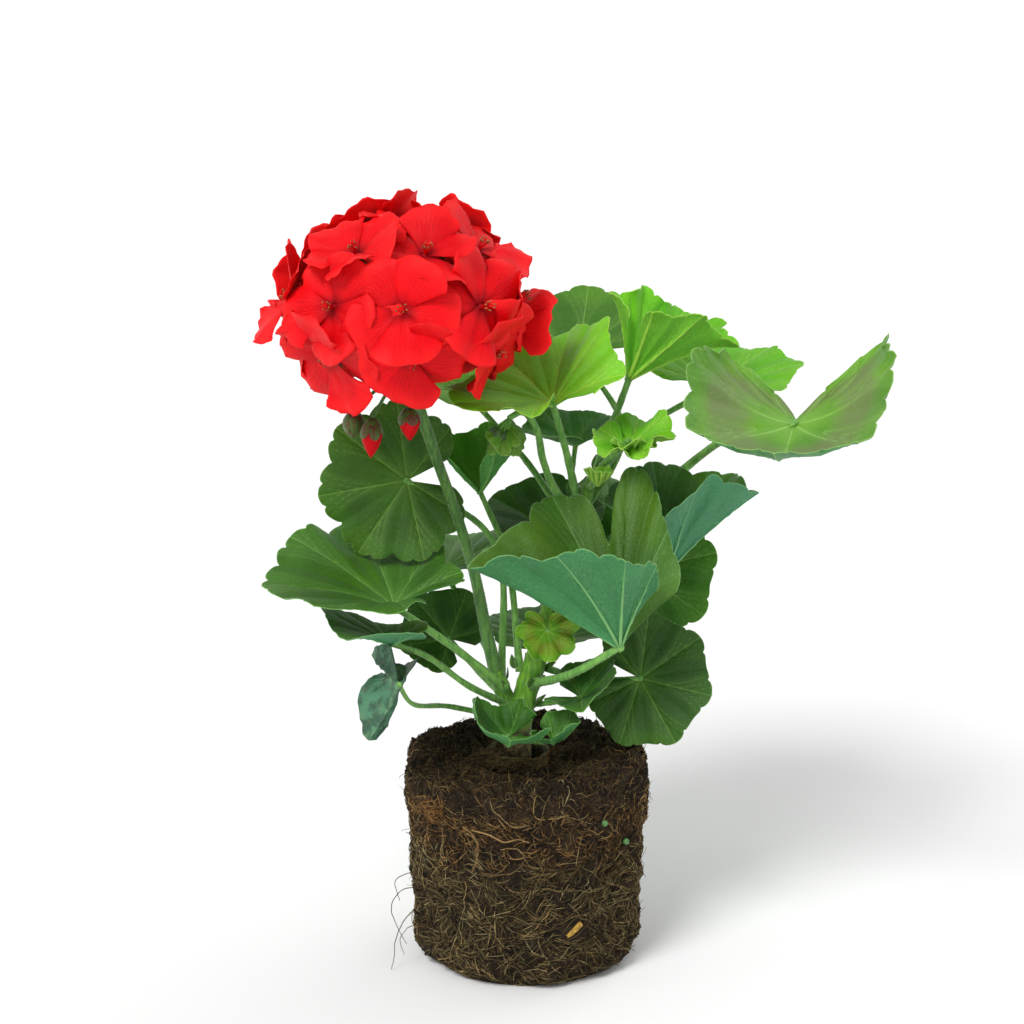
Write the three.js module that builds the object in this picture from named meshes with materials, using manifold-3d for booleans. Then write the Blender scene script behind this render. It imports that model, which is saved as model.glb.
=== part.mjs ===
// A zonal geranium (pelargonium) in bloom, lifted out of its pot with a bare root ball.
// Millimetres, +Z up, +X to the right, +Y away from the front. The origin is the centre of the
// root ball's flat bottom, on the surface that the plant stands on.
import * as THREE from "three";
import { mergeVertices } from "three/addons/utils/BufferGeometryUtils.js";
import Module from "manifold-3d";

const wasm = await Module();
wasm.setup();

// ---------------------------------------------------------------- driving dimensions
const GAP = 0.3; // clearance between two pieces that touch

const BALL_HEIGHT = 96; // root ball, in the form of a 12 cm nursery pot
const BALL_TOP_RADIUS = 55;
const BALL_FOOT_RADIUS = 50;
const BALL_FLAT_RADIUS = 43; // flat bottom that it stands on
const BALL_SIDES = 32;
const BALL_LUMP = 1.3; // depth of the lumps in the peat
const ROOT_COUNT = 5; // thick roots that run round the ball
const ROOT_RADIUS = 0.9;

const SLEEVE_CENTRE = [-4, -3]; // peat sleeve of the cutting, round the foot of the stem
const SLEEVE_RADIUS = 14;
const SLEEVE_WALL = 1.8;
const SLEEVE_FLOOR = 88;
const SLEEVE_TOP = 97.5;

const STEM_FOOT = [-4, -1]; // where the stem leaves the soil of the sleeve
const STEM_FOOT_RADIUS = 6.2;
const STEM_FOOT_DEPTH = 9; // the stem stands this deep in the soil of the sleeve
const HOLE_OVER = 14; // the holes are cut from this far over the mean top of the ball
const BLADE_THICKNESS = 0.8;
const STALK_STEPS = 5;
const LARGE_LEAF = 53; // leaves longer than this get one more row of points
const PETAL_THICKNESS = 0.7;
const KIDNEY_TAPER = 0.28; // how much shorter than the midrib a blade is at its base lobes
const KIDNEY_BASE = 0.14; // and how much more right beside the gap between them
const LOBE_NOTCH = 0.09; // notch between two lobes of a leaf, as a share of its radius
const TOOTH_NOTCH = 0.055; // notch between two teeth of the rim

const HEAD_CENTRE = [-52, -22, 303]; // dome of the flower head
const HEAD_WIDTH_RADIUS = 46;
const HEAD_HEIGHT_RADIUS = 34;
const FLORET_RADIUS = 21.6;
const FLORET_INNER_ROW = 0.5; // its points stand in the petals and in the notches between them
const PETAL_LIFT = 28; // degrees that a petal rises at the heart of its floret
const PETAL_BEND = -26; // degrees that it turns back on its way to the tip
const UMBEL = [-50, -20, 270]; // where the pedicels leave the flower stalk

const LOOKS = {
  peat: { color: 0x2f2418, roughness: 1.0 },
  sleeve: { color: 0x3a3820, roughness: 1.0 },
  pellet: { color: 0x4d8a4a, roughness: 0.5 },
  chip: { color: 0xb07a28, roughness: 0.8 },
  stem: { color: 0x4c7a1c, roughness: 0.6 },
  leafDark: { color: 0x2c4f1e, roughness: 0.6 },
  leafMid: { color: 0x3f7030, roughness: 0.6 },
  leafLight: { color: 0x5f9a24, roughness: 0.6 },
  leafBlue: { color: 0x3f7d58, roughness: 0.6 },
  leafDry: { color: 0x5c6a38, roughness: 0.8 },
  petal: { color: 0xe80a1c, roughness: 0.55 },
  bud: { color: 0x2f4a1c, roughness: 0.6 },
};

// ---------------------------------------------------------------- small helpers
const radians = THREE.MathUtils.degToRad;

/** A repeatable number from 0 to 1 for a whole number. */
function draw(number) {
  const wave = Math.sin(number * 12.9898) * 43758.5453;
  return wave - Math.floor(wave);
}

function vector(list) {
  return new THREE.Vector3(list[0], list[1], list[2]);
}

function geometryFrom(points, faces) {
  const geometry = new THREE.BufferGeometry();
  const flat = points.flatMap((point) => [point.x, point.y, point.z]);
  geometry.setAttribute("position", new THREE.Float32BufferAttribute(flat, 3));
  geometry.setIndex(faces.flat());
  return geometry;
}

function solidOf(geometry) {
  const bare = geometry.clone();
  bare.deleteAttribute("normal");
  bare.deleteAttribute("uv");
  const merged = mergeVertices(bare, 1e-4);
  const vertProperties = new Float32Array(merged.attributes.position.array);
  const triVerts = new Uint32Array(merged.index.array);
  return new wasm.Manifold(new wasm.Mesh({ numProp: 3, vertProperties, triVerts }));
}

/** Keeps the largest body of a solid; scraps cut loose by a boolean are dropped. */
function wholeBody(solid) {
  const bodies = solid.decompose();
  return bodies.reduce((kept, body) => (body.volume() > kept.volume() ? body : kept));
}

function geometryOf(solid) {
  const mesh = solid.getMesh();
  const geometry = new THREE.BufferGeometry();
  geometry.setAttribute("position", new THREE.BufferAttribute(mesh.vertProperties, 3));
  geometry.setIndex(new THREE.BufferAttribute(mesh.triVerts, 1));
  geometry.computeVertexNormals();
  return geometry;
}

const plant = new THREE.Group();

function addNode(name, solid, look) {
  const material = new THREE.MeshStandardMaterial({ ...look, metalness: 0, flatShading: true });
  const mesh = new THREE.Mesh(geometryOf(wholeBody(solid)), material);
  mesh.name = name;
  plant.add(mesh);
}

/** A closed round tube through the given points, its radius running through the given radii. */
function tubeSolid(points, radii, sides, steps) {
  const curve = new THREE.CatmullRomCurve3(points.map(vector), false, "centripetal");
  const frames = curve.computeFrenetFrames(steps, false);
  const skin = [];
  const faces = [];
  for (let step = 0; step <= steps; step += 1) {
    const share = step / steps;
    const place = share * (radii.length - 1);
    const low = Math.min(Math.floor(place), radii.length - 2);
    const radius = THREE.MathUtils.lerp(radii[low], radii[low + 1], place - low);
    const centre = curve.getPointAt(share);
    for (let side = 0; side < sides; side += 1) {
      const angle = (side / sides) * 2 * Math.PI;
      const spoke = frames.normals[step].clone().multiplyScalar(radius * Math.cos(angle));
      spoke.addScaledVector(frames.binormals[step], radius * Math.sin(angle));
      skin.push(centre.clone().add(spoke));
    }
  }
  for (let step = 0; step < steps; step += 1) {
    for (let side = 0; side < sides; side += 1) {
      const here = step * sides + side;
      const next = step * sides + ((side + 1) % sides);
      faces.push([here, next, next + sides], [here, next + sides, here + sides]);
    }
  }
  const end = steps * sides;
  for (let side = 1; side < sides - 1; side += 1) {
    faces.push([0, side + 1, side], [end, end + side, end + side + 1]);
  }
  return solidOf(geometryFrom(skin, faces));
}

/** A faceted ball: 20 faces at detail 0, 80 at detail 1. */
function ballSolid(centre, radius, detail) {
  const ball = new THREE.IcosahedronGeometry(radius, detail);
  ball.translate(centre[0], centre[1], centre[2]);
  return solidOf(ball);
}

/** A plain round hole from its bottom to well above the ball's uneven top. */
function holeSolid(centre, hole, sides) {
  const top = BALL_HEIGHT + HOLE_OVER;
  const cylinder = new THREE.CylinderGeometry(hole.radius, hole.radius, top - hole.bottom, sides);
  cylinder.rotateX(Math.PI / 2);
  cylinder.translate(centre[0], centre[1], (hole.bottom + top) / 2);
  return solidOf(cylinder);
}

// ---------------------------------------------------------------- thin sheets
/** Triangles between two rows of a sheet whose points are sorted by angle. */
function stripFaces(inner, outer, closed) {
  const faces = [];
  const at = (row, step) => row[step % row.length];
  const angleAt = (row, step) => at(row, step).angle + (step >= row.length ? 2 * Math.PI : 0);
  const innerEnd = closed ? inner.length : inner.length - 1;
  const outerEnd = closed ? outer.length : outer.length - 1;
  let i = 0;
  let o = 0;
  while (i < innerEnd || o < outerEnd) {
    const nextInner = i < innerEnd ? angleAt(inner, i + 1) : Infinity;
    const nextOuter = o < outerEnd ? angleAt(outer, o + 1) : Infinity;
    if (nextOuter <= nextInner) {
      faces.push([at(inner, i).index, at(outer, o).index, at(outer, o + 1).index]);
      o += 1;
    } else {
      faces.push([at(inner, i).index, at(outer, o).index, at(inner, i + 1).index]);
      i += 1;
    }
  }
  return faces;
}

/**
 * A closed blade of even thickness. surface(angle, share) gives a point of its middle sheet, with
 * share 0 at the heart and 1 at the rim; rows lists the angles of each row from the inside out.
 */
function sheetSolid(surface, rows, thickness, closed) {
  const small = 1e-3;
  const heart = surface(0, 0);
  const points = [{ place: heart }];
  const placed = rows.map((row) => row.angles.map((angle) => {
    const place = surface(angle, row.share);
    const alongRim = surface(angle + small, row.share).sub(surface(angle - small, row.share));
    const outward = place.clone().sub(surface(angle, row.share - small));
    const index = points.length;
    points.push({ place, normal: outward.cross(alongRim).normalize() });
    return { index, angle };
  }));
  const average = new THREE.Vector3();
  placed[0].forEach((entry) => average.add(points[entry.index].normal));
  points[0].normal = average.normalize();
  const sheet = [];
  const first = placed[0];
  const fanEnd = closed ? first.length : first.length - 1;
  for (let step = 0; step < fanEnd; step += 1) {
    sheet.push([0, first[step].index, first[(step + 1) % first.length].index]);
  }
  for (let row = 1; row < placed.length; row += 1) {
    sheet.push(...stripFaces(placed[row - 1], placed[row], closed));
  }
  const rim = placed[placed.length - 1].map((entry) => entry.index);
  const inner = placed.slice(0, -1);
  const border = closed ? rim : [0, ...inner.map((row) => row[0].index), ...rim,
    ...inner.map((row) => row[row.length - 1].index).reverse()];
  const count = points.length;
  const half = thickness / 2;
  const skin = [
    ...points.map((point) => point.place.clone().addScaledVector(point.normal, half)),
    ...points.map((point) => point.place.clone().addScaledVector(point.normal, -half)),
  ];
  const faces = [...sheet, ...sheet.map(([a, b, c]) => [a + count, c + count, b + count])];
  border.forEach((here, step) => {
    const next = border[(step + 1) % border.length];
    faces.push([here, here + count, next + count], [here, next + count, next]);
  });
  return solidOf(geometryFrom(skin, faces));
}

/** Length and height of an arc that starts at angle lift and turns by bend over its run. */
function arcRun(lift, bend, share) {
  if (Math.abs(bend) < 1e-3) {
    return [share * Math.cos(lift), share * Math.sin(lift)];
  }
  const end = lift + bend * share;
  return [(Math.sin(end) - Math.sin(lift)) / bend, (Math.cos(lift) - Math.cos(end)) / bend];
}

/** A right-handed frame with its first axis along ahead and its third as near to up as it can be. */
function frameOf(ahead, up) {
  const first = vector(ahead).normalize();
  const third = vector(up);
  third.addScaledVector(first, -third.dot(first)).normalize();
  return { first, second: third.clone().cross(first), third };
}

// ---------------------------------------------------------------- leaves
// foot, via and joint: the leaf stalk's way from the stem to the blade. tip: where the midrib
// points. face: where the upper side faces. size: length from joint to tip. The blade rises from
// its joint at lift degrees, by fold more at its sides and by hood more at its base, turns by curl
// degrees on its way to the rim, by bow more toward the tip, and waves by ruffle degrees. sinus: half
// the opening where the two base lobes part. notch: how deep its notches are, as a share of the usual
// depth. bulges: an uneven leaf reaches and lifts more or less than that round these angles from the
// midrib.
const FUNNEL_BULGES = [
  { at: 0, width: 12, reach: 0.1, lift: -20 },
  { at: 15, width: 45, reach: 0.15, lift: -17 },
  { at: -42, width: 24, reach: 0.22, lift: -6 },
  { at: -75, width: 8, reach: -0.45, lift: 0 },
  { at: -108, width: 38, reach: 0.5, lift: 6 },
  { at: -166, width: 19, reach: 0, lift: -20 },
];
const LEFT_FAN_BULGES = [
  { at: -115, width: 32, reach: -0.3, lift: 0 },
  { at: 75, width: 30, reach: 0.12, lift: -9 },
];
const LEFT_LOW_BULGES = [{ at: -90, width: 50, reach: -0.35, lift: -4 }];
const WITHERED_BULGES = [
  { at: 62, width: 42, reach: -0.45, lift: 14 },
  { at: -62, width: 42, reach: -0.45, lift: 14 },
];
const BASE_CUP_BULGES = [{ at: -85, width: 42, reach: -0.32, lift: -6 }];
const RIGHT_FUNNEL_BULGES = [
  { at: -115, width: 50, reach: 0.35, lift: 18 },
  { at: -45, width: 35, reach: 0, lift: 6 },
];
const SADDLE_BULGES = [
  { at: 122, width: 26, reach: 0.28, lift: 4 },
  { at: -120, width: 40, reach: 0.04, lift: -2 },
];
const UMBRELLA_BULGES = [
  { at: -80, width: 45, reach: 0.12, lift: 24 },
  { at: 75, width: 40, reach: 0.22, lift: -6 },
];
const LEAVES = [
  { name: "front_funnel", look: "leafBlue", foot: [2, -3, 128], via: [[20, -26, 141]], joint: [40, -38, 157],
    tip: [-1, 0.05, 0], face: [0, 0, 1], size: 60, stalk: 2.2, lobes: 7, teeth: 3, sinus: 14,
    lift: 60, fold: 0, hood: 0, curl: 4, bow: 0, ruffle: 5, waves: 5, phase: 0.5,
    notch: 0.35, bulges: FUNNEL_BULGES },
  { name: "left_fan", look: "leafMid", foot: [-9, -4, 126], via: [[-32, -12, 148]], joint: [-58, -24, 171],
    tip: [-0.85, 0.5, 0], face: [-0.2, 0.05, 1], size: 59, stalk: 2.1, lobes: 7, teeth: 3, sinus: 28,
    lift: 22, fold: 0, hood: 0, curl: 0, bow: 0, ruffle: 9, waves: 4, phase: 0.8,
    notch: 0.6, bulges: LEFT_FAN_BULGES },
  { name: "right_funnel", look: "leafBlue", foot: [17, 8, 176], via: [[42, 8, 172]], joint: [63, 8, 178],
    tip: [0.7, 0.7, 0], face: [0.25, 0, 1], size: 54, stalk: 1.8, lobes: 5, teeth: 3, sinus: 20,
    lift: 42, fold: 0, hood: 0, curl: 6, bow: 0, ruffle: 7, waves: 4, phase: 1,
    notch: 0.5, bulges: RIGHT_FUNNEL_BULGES },
  { name: "left_low", look: "leafBlue", foot: [-8, -2, 118], via: [[-26, -19, 133], [-44, -29, 150]],
    joint: [-59, -42, 160],
    tip: [-0.95, 0.1, 0.05], face: [-0.1, 0.1, 1], size: 34, stalk: 1.7, lobes: 5, teeth: 2, sinus: 25,
    lift: 16, fold: 0, hood: 0, curl: 6, bow: 0, ruffle: 10, waves: 3, phase: 0, bulges: LEFT_LOW_BULGES },
  { name: "withered", look: "leafDry", foot: [-8, -1, 111], via: [[-34, -13, 121], [-50, -43, 133]],
    joint: [-55, -56, 146],
    tip: [-0.4, -0.12, -0.9], face: [-0.25, 0.95, 0.1], size: 33, stalk: 1.4, lobes: 5, teeth: 2, sinus: 30,
    lift: 0, fold: 70, hood: 8, curl: 6, bow: 0, ruffle: 6, waves: 3, phase: 2,
    bulges: WITHERED_BULGES },
  { name: "left_back", look: "leafDark", foot: [-8, 3, 118], via: [[-20, 14, 126]], joint: [-35, 20, 142],
    tip: [-0.7, 0.5, 0.6], face: [-0.1, -0.7, 0.7], size: 25, stalk: 1.5, lobes: 5, teeth: 2, sinus: 25,
    lift: 12, fold: 0, hood: 5, curl: 0, bow: 0, ruffle: 6, waves: 3, phase: 1 },
  { name: "base_cup", look: "leafMid", foot: [-5, -5, 102], via: [[-6, -15, 106]], joint: [-8, -29, 113],
    tip: [-0.85, -0.4, 0.15], face: [-0.1, -0.36, 1], size: 30, stalk: 1.4, lobes: 5, teeth: 2, sinus: 25,
    lift: 15, fold: 0, hood: 0, curl: 8, bow: 0, ruffle: 12, waves: 3, phase: 0.6, bulges: BASE_CUP_BULGES },
  { name: "base_small", look: "leafBlue", foot: [1, -4, 101.5], via: [[7, -10, 103]], joint: [12, -18, 106.5],
    tip: [0.9, -0.5, 0.1], face: [0, -0.3, 1], size: 18, stalk: 1.2, lobes: 5, teeth: 2, sinus: 25,
    lift: 22, fold: 0, hood: 0, curl: 10, bow: 0, ruffle: 10, waves: 3, phase: 1 },
  { name: "young_low", look: "leafLight", foot: [4, -2, 142], via: [[7, -8, 150]], joint: [9, -14, 157],
    tip: [0.1, -0.4, -0.9], face: [0, -1, 0.4], size: 16, stalk: 1.2, lobes: 7, teeth: 1, sinus: 15,
    lift: 15, fold: 0, hood: 0, curl: 0, bow: 0, ruffle: 22, waves: 7, phase: 0 },
  { name: "right_small", look: "leafDark", foot: [3, 1, 117], via: [[14, -4, 120]], joint: [24, -9, 124],
    tip: [0.8, -0.4, 0.3], face: [-0.1, -0.3, 1], size: 24, stalk: 1.3, lobes: 5, teeth: 2, sinus: 25,
    lift: 15, fold: 0, hood: 10, curl: 5, bow: 0, ruffle: 14, waves: 3, phase: 0 },
  { name: "right_round", look: "leafDark", foot: [6, 4, 134], via: [[28, 10, 126]], joint: [51, 2, 129],
    tip: [1, -0.3, -0.15], face: [0, -1, 0.3], size: 34, stalk: 1.7, lobes: 7, teeth: 2, sinus: 15,
    lift: 6, fold: 0, hood: 0, curl: -4, bow: 0, ruffle: 6, waves: 3, phase: 1 },
  { name: "right_mid", look: "leafMid", foot: [9, 6, 154], via: [[28, 26, 162]], joint: [50, 34, 170],
    tip: [1, 0.2, 0.15], face: [-0.1, -0.85, 0.5], size: 38, stalk: 1.7, lobes: 7, teeth: 2, sinus: 15,
    lift: 4, fold: 5, hood: 0, curl: -6, bow: 0, ruffle: 6, waves: 3, phase: 0 },
  { name: "right_saddle", look: "leafMid", foot: [14, 8, 168],
    via: [[41, 34, 187], [64, 48, 207], [92, 30, 235]], joint: [114, -24, 253],
    tip: [-0.24, -1, 0], face: [-0.05, -0.17, 1], size: 61, stalk: 2.4, lobes: 7, teeth: 3, sinus: 34,
    lift: -4, fold: 22, hood: 32, curl: 2, bow: 0, ruffle: 8, waves: 4, phase: 0, bulges: SADDLE_BULGES },
  { name: "high_right", look: "leafLight", foot: [26, 11, 214], via: [[50, 38, 234]], joint: [84, 48, 252],
    tip: [0.6, 0.7, 0.1], face: [-0.1, -0.4, 0.9], size: 44, stalk: 1.9, lobes: 7, teeth: 2, sinus: 20,
    lift: 12, fold: 5, hood: 10, curl: 0, bow: 0, ruffle: 8, waves: 3, phase: 2 },
  { name: "umbrella", look: "leafLight", foot: [22, 5, 212], via: [[17, -4, 236]], joint: [11, -12, 259],
    tip: [-0.5, 0.85, 0], face: [-0.24, 0.15, 1], size: 45, stalk: 2, lobes: 7, teeth: 2, sinus: 25,
    lift: 15, fold: 0, hood: 0, curl: 5, bow: 0, ruffle: 10, waves: 4, phase: 1, bulges: UMBRELLA_BULGES },
  { name: "bright_fan", look: "leafLight", foot: [30, 8, 222], via: [[38, 11, 245]], joint: [45, 12, 265],
    tip: [0.7, 0.4, -0.5], face: [0.53, 0.18, 0.82], size: 52, stalk: 2.1, lobes: 7, teeth: 2, sinus: 20,
    lift: 52, fold: 0, hood: 0, curl: 5, bow: 0, ruffle: 8, waves: 4, phase: 0 },
  { name: "pale_mid", look: "leafMid", foot: [22, 10, 204], via: [[20, 22, 214]], joint: [22, 32, 230],
    tip: [-0.6, 0.8, 0], face: [0, -0.1, 1], size: 28, stalk: 1.6, lobes: 5, teeth: 2, sinus: 25,
    lift: 22, fold: 0, hood: 0, curl: 0, bow: 0, ruffle: 8, waves: 3, phase: 0 },
  { name: "high_back", look: "leafMid", foot: [22, 12, 198], via: [[44, 48, 232]], joint: [24, 66, 264],
    tip: [-0.6, 0.8, 0.1], face: [0, -0.4, 0.9], size: 50, stalk: 1.8, lobes: 7, teeth: 2, sinus: 20,
    lift: 10, fold: 5, hood: 5, curl: 0, bow: 0, ruffle: 8, waves: 3, phase: 1 },
  { name: "under_head", look: "leafDark", foot: [-11, 3, 126], via: [[-15, 13, 190]], joint: [-53, 6, 220],
    tip: [-1, -0.1, -0.15], face: [0.05, -1, 0.25], size: 40, stalk: 1.8, lobes: 7, teeth: 3, sinus: 18,
    lift: 5, fold: 0, hood: 0, curl: -4, bow: 0, ruffle: 7, waves: 3, phase: 1 },
  { name: "behind_head", look: "leafBlue", foot: [-3, 3, 132], via: [[-9, 22, 180]], joint: [-21, 25, 210],
    tip: [0.3, 0.9, 0], face: [-0.1, 0, 1], size: 34, stalk: 1.8, lobes: 5, teeth: 2, sinus: 25,
    lift: 48, fold: 0, hood: 0, curl: 4, bow: 0, ruffle: 8, waves: 3, phase: 0 },
  { name: "mid_back", look: "leafDark", foot: [10, 8, 158], via: [[12, 24, 178]], joint: [8, 38, 190],
    tip: [0.1, 0.9, 0.4], face: [0, -0.6, 0.8], size: 31, stalk: 1.7, lobes: 5, teeth: 2, sinus: 25,
    lift: 10, fold: 0, hood: 0, curl: 0, bow: 0, ruffle: 8, waves: 3, phase: 0 },
  { name: "back_left", look: "leafMid", foot: [-5, 4, 112], via: [[-18, 28, 134]], joint: [-38, 48, 166],
    tip: [-0.6, 0.8, 0], face: [-0.1, 0.15, 1], size: 48, stalk: 1.9, lobes: 7, teeth: 2, sinus: 20,
    lift: 10, fold: 5, hood: 5, curl: -8, bow: 0, ruffle: 9, waves: 4, phase: 0 },
  { name: "back_low", look: "leafMid", foot: [-2, 5, 116], via: [[4, 26, 122]], joint: [12, 46, 132],
    tip: [0.2, 1, 0.1], face: [0, 0.1, 1], size: 40, stalk: 1.7, lobes: 7, teeth: 2, sinus: 20,
    lift: 12, fold: 0, hood: 10, curl: -10, bow: 0, ruffle: 9, waves: 3, phase: 1 },
  { name: "back_right", look: "leafMid", foot: [7, 7, 148], via: [[22, 44, 164]], joint: [42, 80, 180],
    tip: [0.7, 0.8, 0.1], face: [0.1, 0.1, 1], size: 42, stalk: 1.8, lobes: 7, teeth: 2, sinus: 20,
    lift: 15, fold: 0, hood: 0, curl: -6, bow: 0, ruffle: 9, waves: 4, phase: 2 },
  { name: "back_high", look: "leafLight", foot: [20, 12, 196], via: [[0, 40, 220]], joint: [-26, 58, 246],
    tip: [-0.8, 0.7, 0.2], face: [-0.1, 0.1, 1], size: 44, stalk: 1.8, lobes: 7, teeth: 2, sinus: 20,
    lift: 18, fold: 0, hood: 0, curl: -4, bow: 0, ruffle: 9, waves: 4, phase: 1 },
];

/** What the bulges of an uneven leaf add at an angle, to its reach or to its lift. */
function bulge(leaf, angle, kind) {
  const parts = (leaf.bulges ?? []).map((one) =>
    one[kind] * Math.exp(-(((angle - radians(one.at)) / radians(one.width)) ** 2)));
  return parts.reduce((sum, part) => sum + part, 0);
}

/** Distance from joint to rim at an angle from the midrib, as a share of the leaf's size. */
function leafReach(leaf, angle, share) {
  const along = angle / radians(180 - leaf.sinus);
  const kidney = 1 - KIDNEY_TAPER * along ** 2 - KIDNEY_BASE * along ** 8;
  const depth = leaf.notch ?? 1;
  const lobe = depth * LOBE_NOTCH * Math.abs(Math.sin(along * leaf.lobes * Math.PI / 2)) ** 4;
  const tooth = depth * TOOTH_NOTCH * Math.sin(along * leaf.lobes * leaf.teeth * Math.PI / 2) ** 2;
  return kidney * (1 + bulge(leaf, angle, "reach")) * (1 - (lobe + tooth) * share ** 6);
}

function leafSurface(leaf) {
  const frame = frameOf(leaf.tip, leaf.face);
  const joint = vector(leaf.joint);
  return (angle, share) => {
    const side = Math.sin(angle) ** 2;
    const back = (1 - Math.cos(angle)) / 2;
    const lift = radians(leaf.lift + leaf.fold * side + leaf.hood * back + bulge(leaf, angle, "lift"));
    const wave = leaf.ruffle * Math.cos(leaf.waves * angle + leaf.phase);
    const bend = radians(leaf.curl + leaf.bow * Math.cos(angle) + wave);
    const [run, rise] = arcRun(lift, bend, share);
    const reach = leaf.size * leafReach(leaf, angle, share);
    return joint.clone()
      .addScaledVector(frame.first, reach * run * Math.cos(angle))
      .addScaledVector(frame.second, reach * run * Math.sin(angle))
      .addScaledVector(frame.third, reach * rise);
  };
}

function evenAngles(half, steps) {
  return Array.from({ length: steps + 1 }, (_, step) => -half + (2 * half * step) / steps);
}

function bladeSolid(leaf) {
  const half = radians(180 - leaf.sinus);
  const steps = 2 * leaf.lobes * leaf.teeth;
  const rim = { share: 1, angles: evenAngles(half, steps) };
  const rows = leaf.size > LARGE_LEAF
    ? [{ share: 0.4, angles: evenAngles(half, 10) }, { share: 0.78, angles: evenAngles(half, 22) }, rim]
    : [{ share: 0.5, angles: evenAngles(half, Math.max(5, Math.round(steps / 3.5))) }, rim];
  return sheetSolid(leafSurface(leaf), rows, BLADE_THICKNESS, false);
}

/** Blade and leaf stalk as one body. */
function leafSolid(leaf) {
  const way = [leaf.foot, ...leaf.via, leaf.joint];
  const radii = [leaf.stalk, leaf.stalk * 0.8, leaf.stalk * 0.65];
  return bladeSolid(leaf).add(tubeSolid(way, radii, 5, STALK_STEPS));
}

// ---------------------------------------------------------------- stem
const STEM_WAYS = [
  { points: [[...STEM_FOOT, SLEEVE_FLOOR - STEM_FOOT_DEPTH], [...STEM_FOOT, SLEEVE_TOP], [-3, 0, 112],
    [1, 1, 128], [7, 2, 148], [15, 5, 178], [23, 8, 206], [25, 8, 216]],
    radii: [STEM_FOOT_RADIUS, 6, 5.2, 4.6, 4.3, 4.2, 4.6], sides: 8, steps: 11 },
  { points: [[-3, 0, 106], [-9, -1, 120], [-14, -2, 134]], radii: [4.2, 4, 3.2], sides: 7, steps: 3 },
  { points: [[24, 8, 210], [29, 7, 220], [32, 6, 226]], radii: [3.2, 2.6, 2], sides: 6, steps: 3 },
];

function stemSolid(extra) {
  const parts = STEM_WAYS.map((way) =>
    tubeSolid(way.points, way.radii.map((radius) => radius + extra), way.sides, way.steps));
  return parts.reduce((whole, part) => whole.add(part));
}

// ---------------------------------------------------------------- flower head
// Rows of florets on a dome, from the crown down: polar angle from +Z, number, turn of the first.
const FLORET_ROWS = [
  { polar: 6, count: 1, turn: 40 },
  { polar: 42, count: 6, turn: -70 },
  { polar: 78, count: 8, turn: -86 },
  { polar: 109, count: 7, turn: -134 },
];
const PETALS = 5;

function floretPlaces() {
  const places = [];
  for (const row of FLORET_ROWS) {
    for (let step = 0; step < row.count; step += 1) {
      const number = places.length + 1;
      const polar = radians(row.polar + 9 * (draw(number) - 0.5));
      const around = radians(row.turn + (step * 360) / row.count + 10 * (draw(number + 40) - 0.5));
      const flat = [Math.sin(polar) * Math.cos(around), Math.sin(polar) * Math.sin(around)];
      const centre = [HEAD_CENTRE[0] + HEAD_WIDTH_RADIUS * flat[0],
        HEAD_CENTRE[1] + HEAD_WIDTH_RADIUS * flat[1],
        HEAD_CENTRE[2] + HEAD_HEIGHT_RADIUS * Math.cos(polar)];
      const facing = [flat[0] / HEAD_WIDTH_RADIUS, flat[1] / HEAD_WIDTH_RADIUS,
        Math.cos(polar) / HEAD_HEIGHT_RADIUS];
      const size = FLORET_RADIUS * (0.94 + 0.12 * draw(number + 80));
      places.push({ number, centre, facing, size, spin: radians(72 * draw(number + 120)) });
    }
  }
  return places;
}

/** Floret as one sheet round its heart: five broad petals, parted to near the heart. */
function floretSolid(floret) {
  const frame = frameOf(floret.facing, [0.02, 0.01, 1]);
  const heart = vector(floret.centre);
  const step = (2 * Math.PI) / PETALS;
  // angle from the petal's middle as a share of its half step, and distance from the heart
  const rimShape = [[-1, 0.36], [-0.85, 0.93], [0, 1.02], [0.85, 0.93]];
  const surface = (angle, share) => {
    const turn = angle / step;
    const petal = ((Math.round(turn) % PETALS) + PETALS) % PETALS;
    const off = Math.abs(turn - Math.round(turn)) * 2;
    const tilt = 14 * (draw(floret.number * 7 + petal) - 0.5) + (petal % 2 ? 5 : -3);
    const near = rimShape.findIndex(([place]) => place >= -off - 1e-6);
    const [fromPlace, fromReach] = rimShape[Math.max(near - 1, 0)];
    const [toPlace, toReach] = rimShape[near];
    const mix = toPlace === fromPlace ? 1 : (-off - fromPlace) / (toPlace - fromPlace);
    const reach = floret.size * THREE.MathUtils.lerp(fromReach, toReach, mix);
    const lift = radians(PETAL_LIFT);
    const bend = radians((tilt + PETAL_BEND) * (1 - off ** 3));
    const [run, rise] = arcRun(lift, bend, share);
    const around = angle + floret.spin;
    return heart.clone()
      .addScaledVector(frame.second, reach * run * Math.cos(around))
      .addScaledVector(frame.third, reach * run * Math.sin(around))
      .addScaledVector(frame.first, reach * rise);
  };
  const petals = Array.from({ length: PETALS }, (_, petal) => petal * step);
  const rows = [
    { share: FLORET_INNER_ROW, angles: petals.flatMap((middle) => [middle - step / 2, middle]) },
    { share: 1, angles: petals.flatMap((middle) => rimShape.map(([place]) => middle + place * step / 2)) },
  ];
  return sheetSolid(surface, rows, PETAL_THICKNESS, true);
}

function joined(solids) {
  return solids.reduce((whole, part) => whole.add(part));
}

// ---------------------------------------------------------------- flower stalk and buds
const STALK_WAY = [[-13, -2, 130], [-18, -2, 152], [-23, -1, 178], [-30, -4, 204], [-40, -11, 236], UMBEL];
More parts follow.
